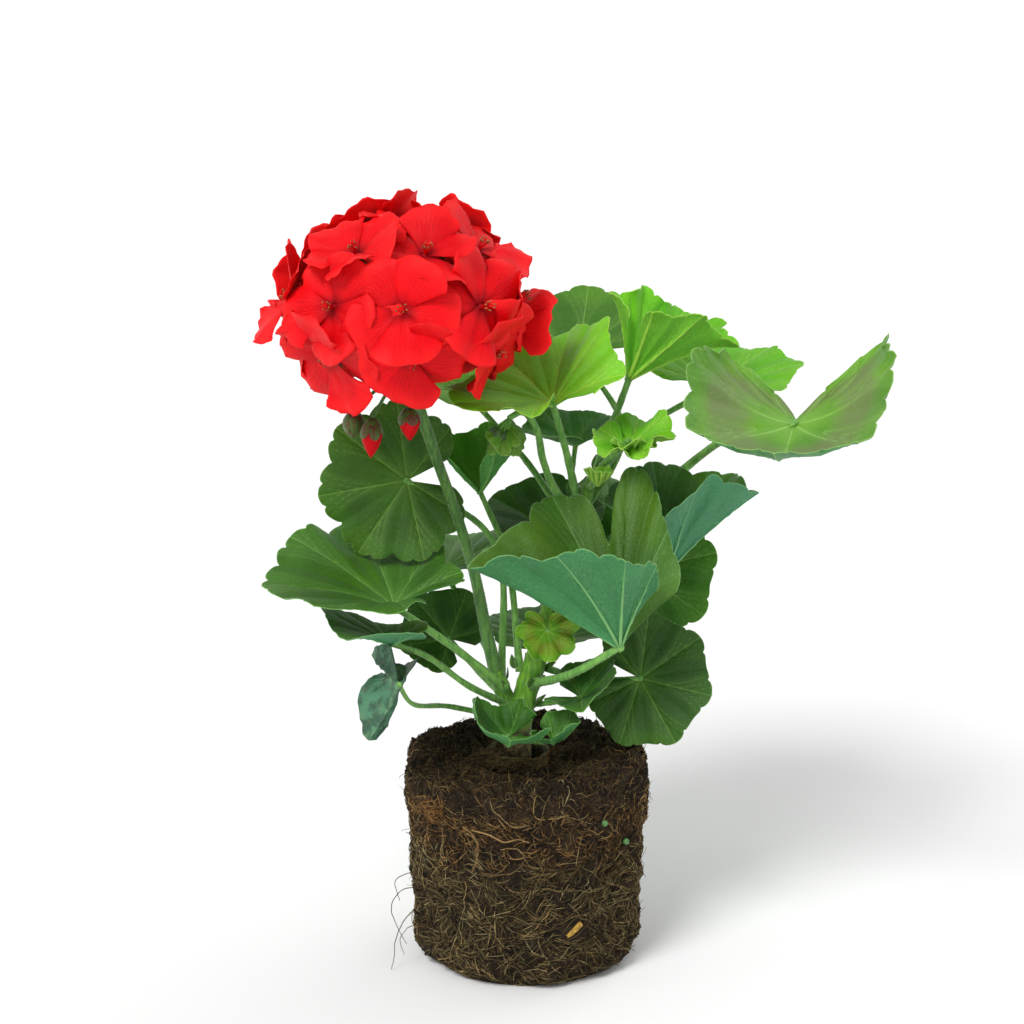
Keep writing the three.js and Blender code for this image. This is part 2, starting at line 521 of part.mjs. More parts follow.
// hanging buds: top and tip, and the share of the length that the red petals show
const BUDS = [
  { top: [-66, -30, 257], tip: [-67, -31, 240], red: 0.55 },
  { top: [-50, -36, 263], tip: [-50, -37, 249], red: 0.5 },
  { top: [-74, -22, 258], tip: [-75, -22, 246], red: 0 },
];
const BUD_RADIUS = 3.5;
const PEDICEL_RADIUS = 0.8;
const PEDICEL_CUP_RADIUS = 1.5; // widens under the floret
const PEDICEL_KNEE = 9; // its last stretch, straight behind the floret
const PEDICEL_SETBACK = 0.15; // over and above the gap, because the heart of the floret is curved
const KNOB_RADIUS = 5; // receptacle that the pedicels grow from

function along(from, to, share) {
  return vector(from).lerp(vector(to), share).toArray();
}

function pedicelWay(floret) {
  const facing = vector(floret.facing).normalize();
  const back = PETAL_THICKNESS / 2 + GAP + PEDICEL_SETBACK;
  const end = vector(floret.centre).addScaledVector(facing, -back);
  const knee = end.clone().addScaledVector(facing, -PEDICEL_KNEE);
  const start = vector(UMBEL).add(knee.clone().sub(vector(UMBEL)).setLength(KNOB_RADIUS * 0.75));
  return [start.toArray(), knee.toArray(), end.toArray()];
}

function pedicelSolid(floret, extra) {
  const radii = [PEDICEL_RADIUS, PEDICEL_RADIUS, PEDICEL_CUP_RADIUS].map((radius) => radius + extra);
  return tubeSolid(pedicelWay(floret), radii, 3, 2);
}

/** The green part of a hanging bud, with its pedicel. */
function budSepals(bud) {
  const knee = [(UMBEL[0] + bud.top[0]) / 2, (UMBEL[1] + bud.top[1]) / 2, UMBEL[2] - 1];
  const pedicel = tubeSolid([UMBEL, knee, bud.top], [PEDICEL_RADIUS, PEDICEL_RADIUS], 3, 3);
  const radii = bud.red ? [1, 2.8, BUD_RADIUS] : [1, 2.8, BUD_RADIUS - 0.6, 1.8, 0.4];
  const end = along(bud.top, bud.tip, 1 - bud.red);
  return pedicel.add(tubeSolid([along(bud.top, bud.tip, -0.03), end], radii, 7, radii.length - 1));
}

function budPetals(bud) {
  const length = vector(bud.top).distanceTo(vector(bud.tip));
  const start = along(bud.top, bud.tip, 1 - bud.red + GAP / length);
  return tubeSolid([start, bud.tip], [BUD_RADIUS - 0.2, BUD_RADIUS - 0.6, 2.2, 0.5], 7, 3);
}

// ---------------------------------------------------------------- young growth
const YOUNG = { fold: 0, hood: 0, curl: 0, bow: 0, lobes: 5, teeth: 1, waves: 5, phase: 0 };
const HIGH_SHOOT = { stalk: [[33, 5, 227], [38, -2, 234], [44, -13, 243]], ruffle: 24 };
const HIGH_BLADES = [
  { joint: [42, -13, 241], tip: [-0.95, -0.1, 0.1], face: [0, -0.3, 1], size: 16, lift: 10, sinus: 60 },
  { joint: [45, -15, 241], tip: [0.3, -0.95, 0], face: [0, -0.3, 1], size: 13, lift: 18, sinus: 75 },
  { joint: [45, -12, 242], tip: [0.9, 0.4, 0.3], face: [-0.3, -0.3, 1], size: 21, lift: 10, sinus: 60 },
];
const TIP_SHOOT = { stalk: [[27, 7, 216], [29, 0, 220], [31, -5, 222]], ruffle: 14 };
const TIP_BLADES = [
  { joint: [31, -5, 221], tip: [-0.8, -0.6, 0], face: [0, 0, 1], size: 10, lift: 55, sinus: 80 },
  { joint: [31, -4, 221], tip: [0.9, 0.3, 0], face: [0, 0, 1], size: 10, lift: 50, sinus: 80 },
];
const NOD_WAY = [[22, 5, 207], [13, 1, 216], [7, -5, 232], [4, -13, 248], [-2, -18, 257], [-8, -22, 255]];
const NOD_BUD = [-12, -24, 248];
const NOD_BUD_RADIUS = 3.7;
const NOD_BLADES = [
  { joint: [-9.5, -22.5, 252.5], tip: [-0.8, -0.3, -0.5], face: [-0.5, -0.3, 0.8], size: 14, lift: 12,
    sinus: 70 },
  { joint: [-8, -22, 253], tip: [0.6, -0.5, -0.7], face: [0.6, -0.6, 0.5], size: 14, lift: 12, sinus: 70 },
];

function youngBlades(blades, ruffle) {
  return blades.map((blade) => bladeSolid({ ...YOUNG, ...blade, ruffle }));
}

function shootSolid(shoot, blades) {
  return joined([tubeSolid(shoot.stalk, [1.6, 1.3, 1.2], 5, 3), ...youngBlades(blades, shoot.ruffle)]);
}

/** A young bud cluster that still nods on its hooked stalk, between two bracts. */
function nodSolid() {
  const crown = NOD_WAY[NOD_WAY.length - 1];
  const stalk = tubeSolid(NOD_WAY, [1.8, 1.6, 1.4], 5, 8);
  const neck = tubeSolid([crown, NOD_BUD], [1.4, 1.2], 5, 1);
  return joined([stalk, neck, ballSolid(NOD_BUD, NOD_BUD_RADIUS, 0), ...youngBlades(NOD_BLADES, 12)]);
}

// ---------------------------------------------------------------- root ball
function ballRadius(height) {
  const taper = THREE.MathUtils.lerp(BALL_FOOT_RADIUS, BALL_TOP_RADIUS, height / BALL_HEIGHT);
  const heel = Math.max(0, 1 - height / 9);
  return taper - (BALL_FOOT_RADIUS - BALL_FLAT_RADIUS) * heel ** 2;
}

function ballLump(around, height) {
  const slow = Math.sin(3 * around + height / 13) * Math.cos(5 * around - height / 9);
  const quick = Math.sin(11 * around + height / 5) * Math.sin(height / 4 + 2 * around);
  return BALL_LUMP * (slow + 0.7 * quick);
}

function topHeight(across, around) {
  const dip = -4 * Math.exp(-((across - 16) ** 2) / 260);
  const lumps = 1.6 * Math.sin(4 * around + across / 6) * Math.sin(across / 7 + 1);
  const shoulder = across > 48 ? -((across - 48) ** 2) / 9 : 0;
  return BALL_HEIGHT + dip + lumps + shoulder;
}

function peatSolid() {
  const sideHeights = [0, 2.5, 8, 18, 30, 42, 54, 66, 78, 87];
  const topRadii = [52, 45, 34, 22, 10];
  const points = [new THREE.Vector3(0, 0, 0)];
  const faces = [];
  for (const height of sideHeights) {
    for (let side = 0; side < BALL_SIDES; side += 1) {
      const around = (2 * Math.PI * side) / BALL_SIDES;
      const lump = height === 0 ? 0 : ballLump(around, height);
      const radius = ballRadius(height) + lump;
      points.push(new THREE.Vector3(radius * Math.cos(around), radius * Math.sin(around), height));
    }
  }
  for (const across of topRadii) {
    for (let side = 0; side < BALL_SIDES; side += 1) {
      const around = (2 * Math.PI * side) / BALL_SIDES;
      const height = topHeight(across, around);
      points.push(new THREE.Vector3(across * Math.cos(around), across * Math.sin(around), height));
    }
  }
  points.push(new THREE.Vector3(0, 0, topHeight(0, 0)));
  const rings = sideHeights.length + topRadii.length;
  for (let side = 0; side < BALL_SIDES; side += 1) {
    const next = (side + 1) % BALL_SIDES;
    faces.push([0, 1 + next, 1 + side]);
    for (let ring = 0; ring < rings - 1; ring += 1) {
      const low = 1 + ring * BALL_SIDES;
      const high = low + BALL_SIDES;
      faces.push([low + side, low + next, high + next], [low + side, high + next, high + side]);
    }
    const last = 1 + (rings - 1) * BALL_SIDES;
    faces.push([last + side, last + next, points.length - 1]);
  }
  return solidOf(geometryFrom(points, faces));
}

/** Thick roots that run round the ball, half sunk in the peat. */
function rootSolids() {
  return Array.from({ length: ROOT_COUNT }, (_, number) => {
    const start = 2 * Math.PI * draw(number + 300);
    const turn = 0.7 + 0.7 * draw(number + 320);
    const low = 9 + 62 * draw(number + 340) ** 1.4;
    const climb = 26 * (draw(number + 360) - 0.4);
    const steps = 5;
    const way = Array.from({ length: steps + 1 }, (__, step) => {
      const around = start + (turn * step) / steps;
      const height = Math.max(6, low + (climb * step) / steps + 3 * Math.sin(step * 1.9 + number));
      const radius = ballRadius(height) + ballLump(around, height) - 0.1;
      return [radius * Math.cos(around), radius * Math.sin(around), height];
    });
    return tubeSolid(way, [ROOT_RADIUS * 0.7, ROOT_RADIUS, ROOT_RADIUS * 0.6], 3, steps);
  });
}

const PELLETS = [[34, -42, 77], [44, -31, 64]];
const PELLET_RADIUS = 1.5;
const CHIP_PLACE = [20.8, -47.6, 29];
const CHIP_SIZE = [8.5, 2.4, 2.6];
const CHIP_TILT = -35; // degrees
const CHIP_TURN = 24;

function chipSolid(extra) {
  const chip = new THREE.BoxGeometry(CHIP_SIZE[0] + 2 * extra, CHIP_SIZE[1] + 2 * extra,
    CHIP_SIZE[2] + 2 * extra);
  chip.rotateY(radians(CHIP_TILT));
  chip.rotateZ(radians(CHIP_TURN));
  chip.translate(...CHIP_PLACE);
  return solidOf(chip);
}

function sleeveSolid() {
  const inner = SLEEVE_RADIUS - SLEEVE_WALL;
  const profile = [[inner, SLEEVE_FLOOR + GAP], [SLEEVE_RADIUS, SLEEVE_FLOOR + GAP],
    [SLEEVE_RADIUS, SLEEVE_TOP - 0.5], [SLEEVE_RADIUS - 0.7, SLEEVE_TOP], [inner, SLEEVE_TOP - 0.6],
    [inner, SLEEVE_FLOOR + GAP]];
  const ring = new THREE.LatheGeometry(profile.map((point) => new THREE.Vector2(...point)), 20);
  ring.rotateX(Math.PI / 2);
  ring.translate(SLEEVE_CENTRE[0], SLEEVE_CENTRE[1], 0);
  return solidOf(ring);
}

// ---------------------------------------------------------------- assembly
const fatStem = stemSolid(GAP);
const florets = floretPlaces();

let ball = joined([peatSolid(), ...rootSolids()]);
const sleeveHole = { radius: SLEEVE_RADIUS + GAP, bottom: SLEEVE_FLOOR };
const stemHole = { radius: STEM_FOOT_RADIUS + GAP, bottom: SLEEVE_FLOOR - STEM_FOOT_DEPTH - GAP };
ball = ball.subtract(holeSolid(SLEEVE_CENTRE, sleeveHole, 24));
ball = ball.subtract(holeSolid(STEM_FOOT, stemHole, 12));
for (const pellet of PELLETS) {
  ball = ball.subtract(ballSolid(pellet, PELLET_RADIUS + GAP, 1));
}
ball = ball.subtract(chipSolid(GAP));
addNode("root_ball", ball, LOOKS.peat);
addNode("plug_sleeve", sleeveSolid(), LOOKS.sleeve);
PELLETS.forEach((pellet, number) => {
  addNode(`pellet_${number + 1}`, ballSolid(pellet, PELLET_RADIUS, 1), LOOKS.pellet);
});
addNode("wood_chip", chipSolid(0), LOOKS.chip);
addNode("stem", stemSolid(0), LOOKS.stem);

for (const leaf of LEAVES) {
  addNode(`leaf_${leaf.name}`, leafSolid(leaf).subtract(fatStem), LOOKS[leaf.look]);
}

const stalkTube = tubeSolid(STALK_WAY, [3.2, 2.6, 2.3, 2.6], 7, 9);
const pedicels = florets.map((floret) => pedicelSolid(floret, 0));
const sepals = BUDS.map(budSepals);
const knob = ballSolid(UMBEL, KNOB_RADIUS, 0);
addNode("flower_stalk", joined([stalkTube, knob, ...pedicels, ...sepals]).subtract(fatStem), LOOKS.stem);
const fatPedicels = joined(florets.map((floret) => pedicelSolid(floret, GAP)));
addNode("flower_head", joined(florets.map(floretSolid)).subtract(fatPedicels), LOOKS.petal);
BUDS.filter((bud) => bud.red > 0).forEach((bud, number) => {
  addNode(`red_bud_${number + 1}`, budPetals(bud), LOOKS.petal);
});
addNode("young_leaves_high", shootSolid(HIGH_SHOOT, HIGH_BLADES).subtract(fatStem), LOOKS.leafLight);
addNode("young_leaves_tip", shootSolid(TIP_SHOOT, TIP_BLADES).subtract(fatStem), LOOKS.leafLight);
addNode("nodding_buds", nodSolid().subtract(fatStem), LOOKS.bud);

export default plant;
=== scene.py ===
"""A zonal geranium in bloom with its bare root ball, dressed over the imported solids.

Lengths are in millimetres until a piece's mesh is made. +Z is up, -Y is the front. The named values
for leaves, stalks, florets and root ball repeat those of the solids, sampled more finely here.
"""
import math

import bpy
import numpy as np
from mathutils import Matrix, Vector, noise


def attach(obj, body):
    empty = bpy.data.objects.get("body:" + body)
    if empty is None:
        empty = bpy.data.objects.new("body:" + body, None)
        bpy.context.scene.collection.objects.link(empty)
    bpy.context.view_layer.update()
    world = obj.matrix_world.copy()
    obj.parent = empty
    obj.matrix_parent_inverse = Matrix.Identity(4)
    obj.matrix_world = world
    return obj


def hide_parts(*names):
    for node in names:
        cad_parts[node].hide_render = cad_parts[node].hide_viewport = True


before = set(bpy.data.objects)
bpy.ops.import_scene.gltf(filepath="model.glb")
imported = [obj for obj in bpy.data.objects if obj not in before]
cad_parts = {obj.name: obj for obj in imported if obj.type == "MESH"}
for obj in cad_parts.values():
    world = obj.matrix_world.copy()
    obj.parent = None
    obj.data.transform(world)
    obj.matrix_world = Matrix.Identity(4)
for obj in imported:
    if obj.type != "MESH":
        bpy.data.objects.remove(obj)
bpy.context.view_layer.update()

MM = 0.001
THIRDS = (0, 2.094, 4.189)  # corners of a three-sided fibre or hair, in radians


# ------------------------------------------------------------------ small helpers
def draw(number):
    """A repeatable number from 0 to 1 for a number."""
    wave = math.sin(number * 12.9898) * 43758.5453
    return wave - math.floor(wave)


def unit(vectors):
    vectors = np.asarray(vectors, float)
    return vectors / np.maximum(np.linalg.norm(vectors, axis=-1, keepdims=True), 1e-12)


def frame_of(ahead, up):
    """Right-handed axes: the first along ahead, the third as near to up as it can be."""
    first = unit(ahead)
    third = np.asarray(up, float)
    third = unit(third - third.dot(first) * first)
    return first, np.cross(third, first), third


def arc_run(lift, bend, share):
    """Length and height of an arc that starts at angle lift and turns by bend over its run."""
    bend = np.where(np.abs(bend) < 1e-3, 1e-3, bend)
    end = lift + bend * share
    return (np.sin(end) - np.sin(lift)) / bend, (np.cos(lift) - np.cos(end)) / bend


def spline(points, count):
    """A centripetal Catmull-Rom curve through the points, cut into even lengths."""
    points = np.asarray(points, float)
    ends = np.vstack([2 * points[0] - points[1], points, 2 * points[-1] - points[-2]])
    dense = []
    for i in range(len(points) - 1):
        p0, p1, p2, p3 = ends[i:i + 4]
        d0, d1, d2 = (max(np.linalg.norm(b - a), 1e-6) ** 0.5
                      for a, b in ((p0, p1), (p1, p2), (p2, p3)))
        m1 = ((p1 - p0) / d0 - (p2 - p0) / (d0 + d1) + (p2 - p1) / d1) * d1
        m2 = ((p2 - p1) / d1 - (p3 - p1) / (d1 + d2) + (p3 - p2) / d2) * d1
        t = np.linspace(0, 1, 24, endpoint=i == len(points) - 2)[:, None]
        dense.append(p1 + m1 * t + (-3 * p1 + 3 * p2 - 2 * m1 - m2) * t ** 2
                     + (2 * p1 - 2 * p2 + m1 + m2) * t ** 3)
    dense = np.vstack(dense)
    run = np.concatenate([[0], np.cumsum(np.linalg.norm(np.diff(dense, axis=0), axis=1))])
    at = np.linspace(0, run[-1], count)
    return np.stack([np.interp(at, run, dense[:, k]) for k in range(3)], axis=1)


def along_list(values, count):
    values = np.asarray(values, float)
    return np.interp(np.linspace(0, len(values) - 1, count), np.arange(len(values)), values)


def rough(points, scale, octaves=1, seed=0.0):
    """Smooth 3-D noise, about -1 to 1, at a size in millimetres."""
    flat = np.asarray(points, float).reshape(-1, 3) / scale + seed
    if octaves == 1:
        values = [noise.noise(Vector(p)) for p in flat]
    else:
        values = [noise.fractal(Vector(p), 1.0, 2.1, octaves) for p in flat]
    return np.array(values).reshape(np.shape(points)[:-1])


class Skin:
    """Points, faces and named values of one piece. A face's kind is its place in the materials."""

    def __init__(self):
        self.points, self.quads, self.tris, self.values, self.count = [], [], [], {}, 0

    def add(self, points, quads=None, tris=None, kind=0, **values):
        points = np.asarray(points, float).reshape(-1, 3)
        quads = np.zeros((0, 4), int) if quads is None else np.asarray(quads, int).reshape(-1, 4)
        tris = np.zeros((0, 3), int) if tris is None else np.asarray(tris, int).reshape(-1, 3)
        self.points.append(points)
        self.quads.append((quads + self.count, kind))
        self.tris.append((tris + self.count, kind))
        for name, value in values.items():
            whole = np.broadcast_to(np.ravel(value), (len(points),))
            self.values.setdefault(name, []).append((self.count, whole))
        self.count += len(points)


def piece(name, skin, materials, replaces=()):
    """Makes the mesh object of a piece; it rides on the root body."""
    mesh = bpy.data.meshes.new(name)
    points = np.concatenate(skin.points) * MM
    quads = np.concatenate([part for part, _ in skin.quads])
    tris = np.concatenate([part for part, _ in skin.tris])
    kinds = np.concatenate([np.full(len(part), kind) for part, kind in skin.quads + skin.tris])
    mesh.vertices.add(len(points))
    mesh.vertices.foreach_set("co", points.ravel())
    mesh.loops.add(quads.size + tris.size)
    mesh.loops.foreach_set("vertex_index", np.concatenate([quads.ravel(), tris.ravel()]))
    mesh.polygons.add(len(quads) + len(tris))
    starts = np.concatenate([4 * np.arange(len(quads)), quads.size + 3 * np.arange(len(tris))])
    mesh.polygons.foreach_set("loop_start", starts)
    mesh.polygons.foreach_set("material_index", kinds)
    mesh.polygons.foreach_set("use_smooth", np.ones(len(kinds), bool))
    for value_name, parts in skin.values.items():
        whole = np.zeros(len(points))
        for start, values in parts:
            whole[start:start + len(values)] = values
        mesh.attributes.new(value_name, "FLOAT", "POINT").data.foreach_set("value", whole)
    mesh.update(calc_edges=True)
    mesh.validate()
    for material in materials:
        mesh.materials.append(material)
    made = bpy.data.objects.new(name, mesh)
    bpy.context.scene.collection.objects.link(made)
    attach(made, "root")
    if replaces:
        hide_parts(*replaces)
    return made


def sheet(skin, grid, over, under, kind=0, **values):
    """A closed blade from a grid of points: rows run outward, columns run round."""
    rows, cols = grid.shape[:2]
    normal = unit(np.cross(np.gradient(grid, axis=0), np.gradient(grid, axis=1)))
    over = np.broadcast_to(over, (rows, cols))[..., None]
    under = np.broadcast_to(under, (rows, cols))[..., None]
    points = np.concatenate([(grid + normal * over).reshape(-1, 3),
                             (grid - normal * under).reshape(-1, 3)])
    index = np.arange(rows * cols).reshape(rows, cols)
    a, b, c, d = index[:-1, :-1], index[1:, :-1], index[1:, 1:], index[:-1, 1:]
    top = np.stack([a, b, c, d], -1).reshape(-1, 4)
    loop = np.concatenate([index[:-1, 0], index[-1, :-1], index[:0:-1, -1], index[0, :0:-1]])
    ahead = np.roll(loop, -1)
    size = rows * cols
    wall = np.stack([ahead, loop, loop + size, ahead + size], -1)
    both = {key: np.concatenate([np.broadcast_to(value, (rows, cols)).reshape(-1)] * 2)
            for key, value in values.items()}
    both["below"] = np.concatenate([np.zeros(size), np.ones(size)])
    skin.add(points, np.concatenate([top, top[:, ::-1] + size, wall]), kind=kind, **both)


def ring_faces(rows, cols):
    """Quads between rings of points, and the fans that close both ends onto two last points."""
    index = np.arange(rows * cols).reshape(rows, cols)
    nxt = np.roll(index, -1, axis=1)
    quads = np.stack([index[:-1], nxt[:-1], nxt[1:], index[1:]], -1).reshape(-1, 4)
    end = np.full(cols, rows * cols)
    return quads, np.concatenate([np.stack([nxt[0], index[0], end], -1),
                                  np.stack([index[-1], nxt[-1], end + 1], -1)])


def tube(skin, path, radii, sides, kind=0, **values):
    """A closed round tube along a path; returns its ring directions for what grows on it."""
    path = np.asarray(path, float)
    tangent = unit(np.gradient(path, axis=0))
    side = np.cross(tangent[0], [0.31, 0.17, 0.93])
    spokes = []
    for step in range(len(path)):
        side = unit(side - side.dot(tangent[step]) * tangent[step])
        up = np.cross(tangent[step], side)
        angle = 2 * math.pi * np.arange(sides) / sides
        spokes.append(np.cos(angle)[:, None] * side + np.sin(angle)[:, None] * up)
    spokes = np.array(spokes)
    radii = np.broadcast_to(np.asarray(radii, float), (len(path),))
    rings = path[:, None] + spokes * radii[:, None, None]
    full = {key: np.concatenate([np.repeat(np.broadcast_to(value, (len(path),)), sides),
                                 [np.ravel(value)[0], np.ravel(value)[-1]]])
            for key, value in values.items()}
    skin.add(np.concatenate([rings.reshape(-1, 3), path[:1], path[-1:]]),
             *ring_faces(len(path), sides), kind=kind, **full)
    return rings, spokes


def bundle(skin, paths, radii, kind=0, **values):
    """Many thin three-sided tubes at once, from paths of equal length."""
    tangent = unit(np.gradient(paths, axis=1))
    side = unit(np.cross(tangent, [0.31, 0.17, 0.93]))
    other = np.cross(tangent, side)
    count, steps = paths.shape[:2]
    rings = np.stack([paths + radii[..., None] * (math.cos(t) * side + math.sin(t) * other)
                      for t in THIRDS], axis=2)
    index = np.arange(count * steps * 3).reshape(count, steps, 3)
    nxt = np.roll(index, -1, axis=2)
    quads = np.stack([index[:, :-1], nxt[:, :-1], nxt[:, 1:], index[:, 1:]], -1).reshape(-1, 4)
    caps = np.concatenate([index[:, 0, ::-1], index[:, -1]])
    full = {key: np.repeat(value, steps * 3) for key, value in values.items()}
    skin.add(rings.reshape(-1, 3), quads, caps, kind=kind, **full)


def hairs(skin, bases, ahead, lengths, radius, kind=0, **values):
    """Fine three-sided spikes."""
    bases = np.asarray(bases, float).reshape(-1, 3)
    ahead = unit(np.asarray(ahead, float).reshape(-1, 3))
    if not len(bases):
        return
    side = unit(np.cross(ahead, [0.43, 0.61, 0.67]))
    other = np.cross(ahead, side)
    ring = [bases + radius * (math.cos(t) * side + math.sin(t) * other) for t in THIRDS]
    tips = bases + ahead * np.asarray(lengths, float).reshape(-1, 1)
    count = len(bases)
    i = np.arange(count)
    tris = np.concatenate([np.stack([i + k * count, i + ((k + 1) % 3) * count, i + 3 * count], -1)
                           for k in range(3)])
    skin.add(np.concatenate(ring + [tips]), tris=tris, kind=kind, **values)


def tube_hairs(skin, rings, spokes, spacing, length, kind, seed):
    """Down on a stalk: short hairs that stand off it at every spacing millimetres or so."""
    run = np.linalg.norm(np.diff(rings.mean(axis=1), axis=0), axis=1).sum()
    count = int(run / spacing)
    rng = np.random.default_rng(seed)
    step = rng.uniform(0, len(rings) - 1.001, count)
    side = rng.integers(0, rings.shape[1], count)
    low = step.astype(int)
    mix = (step - low)[:, None]
    nearby = (side + 1) % rings.shape[1]
    across = rng.uniform(0, 1, (count, 1))
    base = rings[low, side] * (1 - mix) + rings[low + 1, side] * mix
    other = rings[low, nearby] * (1 - mix) + rings[low + 1, nearby] * mix
    ahead = unit(spokes[low, side] * (1 - across) + spokes[low, nearby] * across
                 + rng.normal(0, 0.25, (count, 3)))
    hairs(skin, base * (1 - across) + other * across, ahead, rng.uniform(0.5, 1.0, count) * length,
          0.055, kind)


def ball(skin, centre, radii, axis=(0, 0, 1), detail=2, kind=0, bumps=0.0, **values):
    """A rounded body, longer along its axis, optionally lumpy."""
    first, second, third = frame_of(axis, (0.12, 0.97, 0.21))
    rows, cols = 4 + 3 * detail, 6 + 4 * detail
    polar = np.linspace(0, math.pi, rows)[1:-1, None]
    turn = 2 * math.pi * np.arange(cols)[None, :] / cols
    radii = np.asarray(radii, float)
    shape = np.stack([np.cos(polar) + 0 * turn, np.sin(polar) * np.cos(turn),
                      np.sin(polar) * np.sin(turn)], -1)
    local = np.concatenate([[[1, 0, 0]], shape.reshape(-1, 3), [[-1, 0, 0]]])
    if bumps:
        local = local * (1 + bumps * rough(local, 0.8, 1, centre[0] + centre[1]))[:, None]
    local = local * radii
    points = (np.asarray(centre, float) + local[:, :1] * first + local[:, 1:2] * second
              + local[:, 2:] * third)
    index = 1 + np.arange((rows - 2) * cols).reshape(rows - 2, cols)
    nxt = np.roll(index, -1, axis=1)
    quads = np.stack([index[:-1], index[1:], nxt[1:], nxt[:-1]], -1).reshape(-1, 4)
    last = len(points) - 1
    caps = np.concatenate([np.stack([np.zeros(cols, int), index[0], nxt[0]], -1),
                           np.stack([np.full(cols, last), nxt[-1], index[-1]], -1)])
    skin.add(points, quads, caps, kind=kind, **values)


# ------------------------------------------------------------------ materials
def tint(red, green, blue):
    """Linear colour of a display colour given as 0 to 255."""
    return tuple(((c / 255 + 0.055) / 1.055) ** 2.4 if c > 10 else c / 255 / 12.92
                 for c in (red, green, blue)) + (1.0,)


class Paint:
    """A node material, built up in few words."""

    def __init__(self, name, roughness, **sockets):
        self.material = bpy.data.materials.new(name)
        self.material.use_nodes = True
        self.tree = self.material.node_tree
        self.shader = self.tree.nodes["Principled BSDF"]
        self.shader.inputs["Roughness"].default_value = roughness
        for socket, value in sockets.items():
            self.shader.inputs[socket.replace("_", " ")].default_value = value
        self.place = self.node("ShaderNodeTexCoord").outputs["Object"]

    def node(self, kind, **settings):
        made = self.tree.nodes.new(kind)
        for key, value in settings.items():
            setattr(made, key, value)
        return made

    def feed(self, socket, value):
        if isinstance(value, bpy.types.NodeSocket):
            self.tree.links.new(value, socket)
        else:
            socket.default_value = value

    def value(self, name):
        return self.node("ShaderNodeAttribute", attribute_name=name).outputs["Fac"]

    def math(self, operation, a, b=0.0):
        made = self.node("ShaderNodeMath", operation=operation)
        self.feed(made.inputs[0], a)
        self.feed(made.inputs[1], b)
        return made.outputs[0]

    def plus(self, a, b):
        return self.math("ADD", a, b)

    def times(self, a, b):
        return self.math("MULTIPLY", a, b)

    def most(self, a, b):
        return self.math("MAXIMUM", a, b)

    def band(self, value, low, high, rising=True):
        """0 to 1 as value passes from low to high, or back."""
        made = self.node("ShaderNodeMapRange", interpolation_type="SMOOTHSTEP")
        self.feed(made.inputs["Value"], value)
        self.feed(made.inputs["From Min"], low)
        self.feed(made.inputs["From Max"], high)
        made.inputs["To Min"].default_value = 0.0 if rising else 1.0
        made.inputs["To Max"].default_value = 1.0 if rising else 0.0
        return made.outputs["Result"]

    def falling(self, value, low, high):
        return self.band(value, low, high, rising=False)

    def mix(self, factor, a, b):
        made = self.node("ShaderNodeMix", data_type="RGBA", blend_type="MIX")
        self.feed(made.inputs["Factor"], factor)
        self.feed(made.inputs["A"], a)
        self.feed(made.inputs["B"], b)
        return made.outputs["Result"]

    def over(self, body, colour, mask, strength):
        """The body with a colour laid over it where the mask is."""
        return self.mix(self.times(mask, strength), body, colour)

    def stretched(self, x, y, z):
        made = self.node("ShaderNodeMapping")
        self.feed(made.inputs["Vector"], self.place)
        made.inputs["Scale"].default_value = (x, y, z)
        return made.outputs["Vector"]

    def noise(self, size, detail=3.0, place=None, roughness=0.55):
        """Noise from 0 to 1 whose features are about size millimetres."""
        made = self.node("ShaderNodeTexNoise")
        self.feed(made.inputs["Vector"], place or self.place)
        made.inputs["Scale"].default_value = 1 / (size * MM)
        made.inputs["Detail"].default_value = detail
        made.inputs["Roughness"].default_value = roughness
        return made.outputs["Fac"]

    def cells(self, size):
        """Distance to the nearest edge of cells about size millimetres wide."""
        made = self.node("ShaderNodeTexVoronoi", feature="DISTANCE_TO_EDGE")
        self.feed(made.inputs["Vector"], self.place)
        made.inputs["Scale"].default_value = 1 / (size * MM)
        return made.outputs["Distance"]

    def bump(self, height, distance, strength):
        made = self.node("ShaderNodeBump")
        made.inputs["Strength"].default_value = strength
        made.inputs["Distance"].default_value = distance * MM
        self.feed(made.inputs["Height"], height)
        self.feed(self.shader.inputs["Normal"], made.outputs["Normal"])

    def colour(self, value):
        self.feed(self.shader.inputs["Base Color"], value)


def scaled(colour, *shares):
    """A colour with all channels multiplied by one share, or each by its own."""
    return tuple(c * k for c, k in zip(colour, shares * 3 if len(shares) == 1 else shares)) + (1.0,)


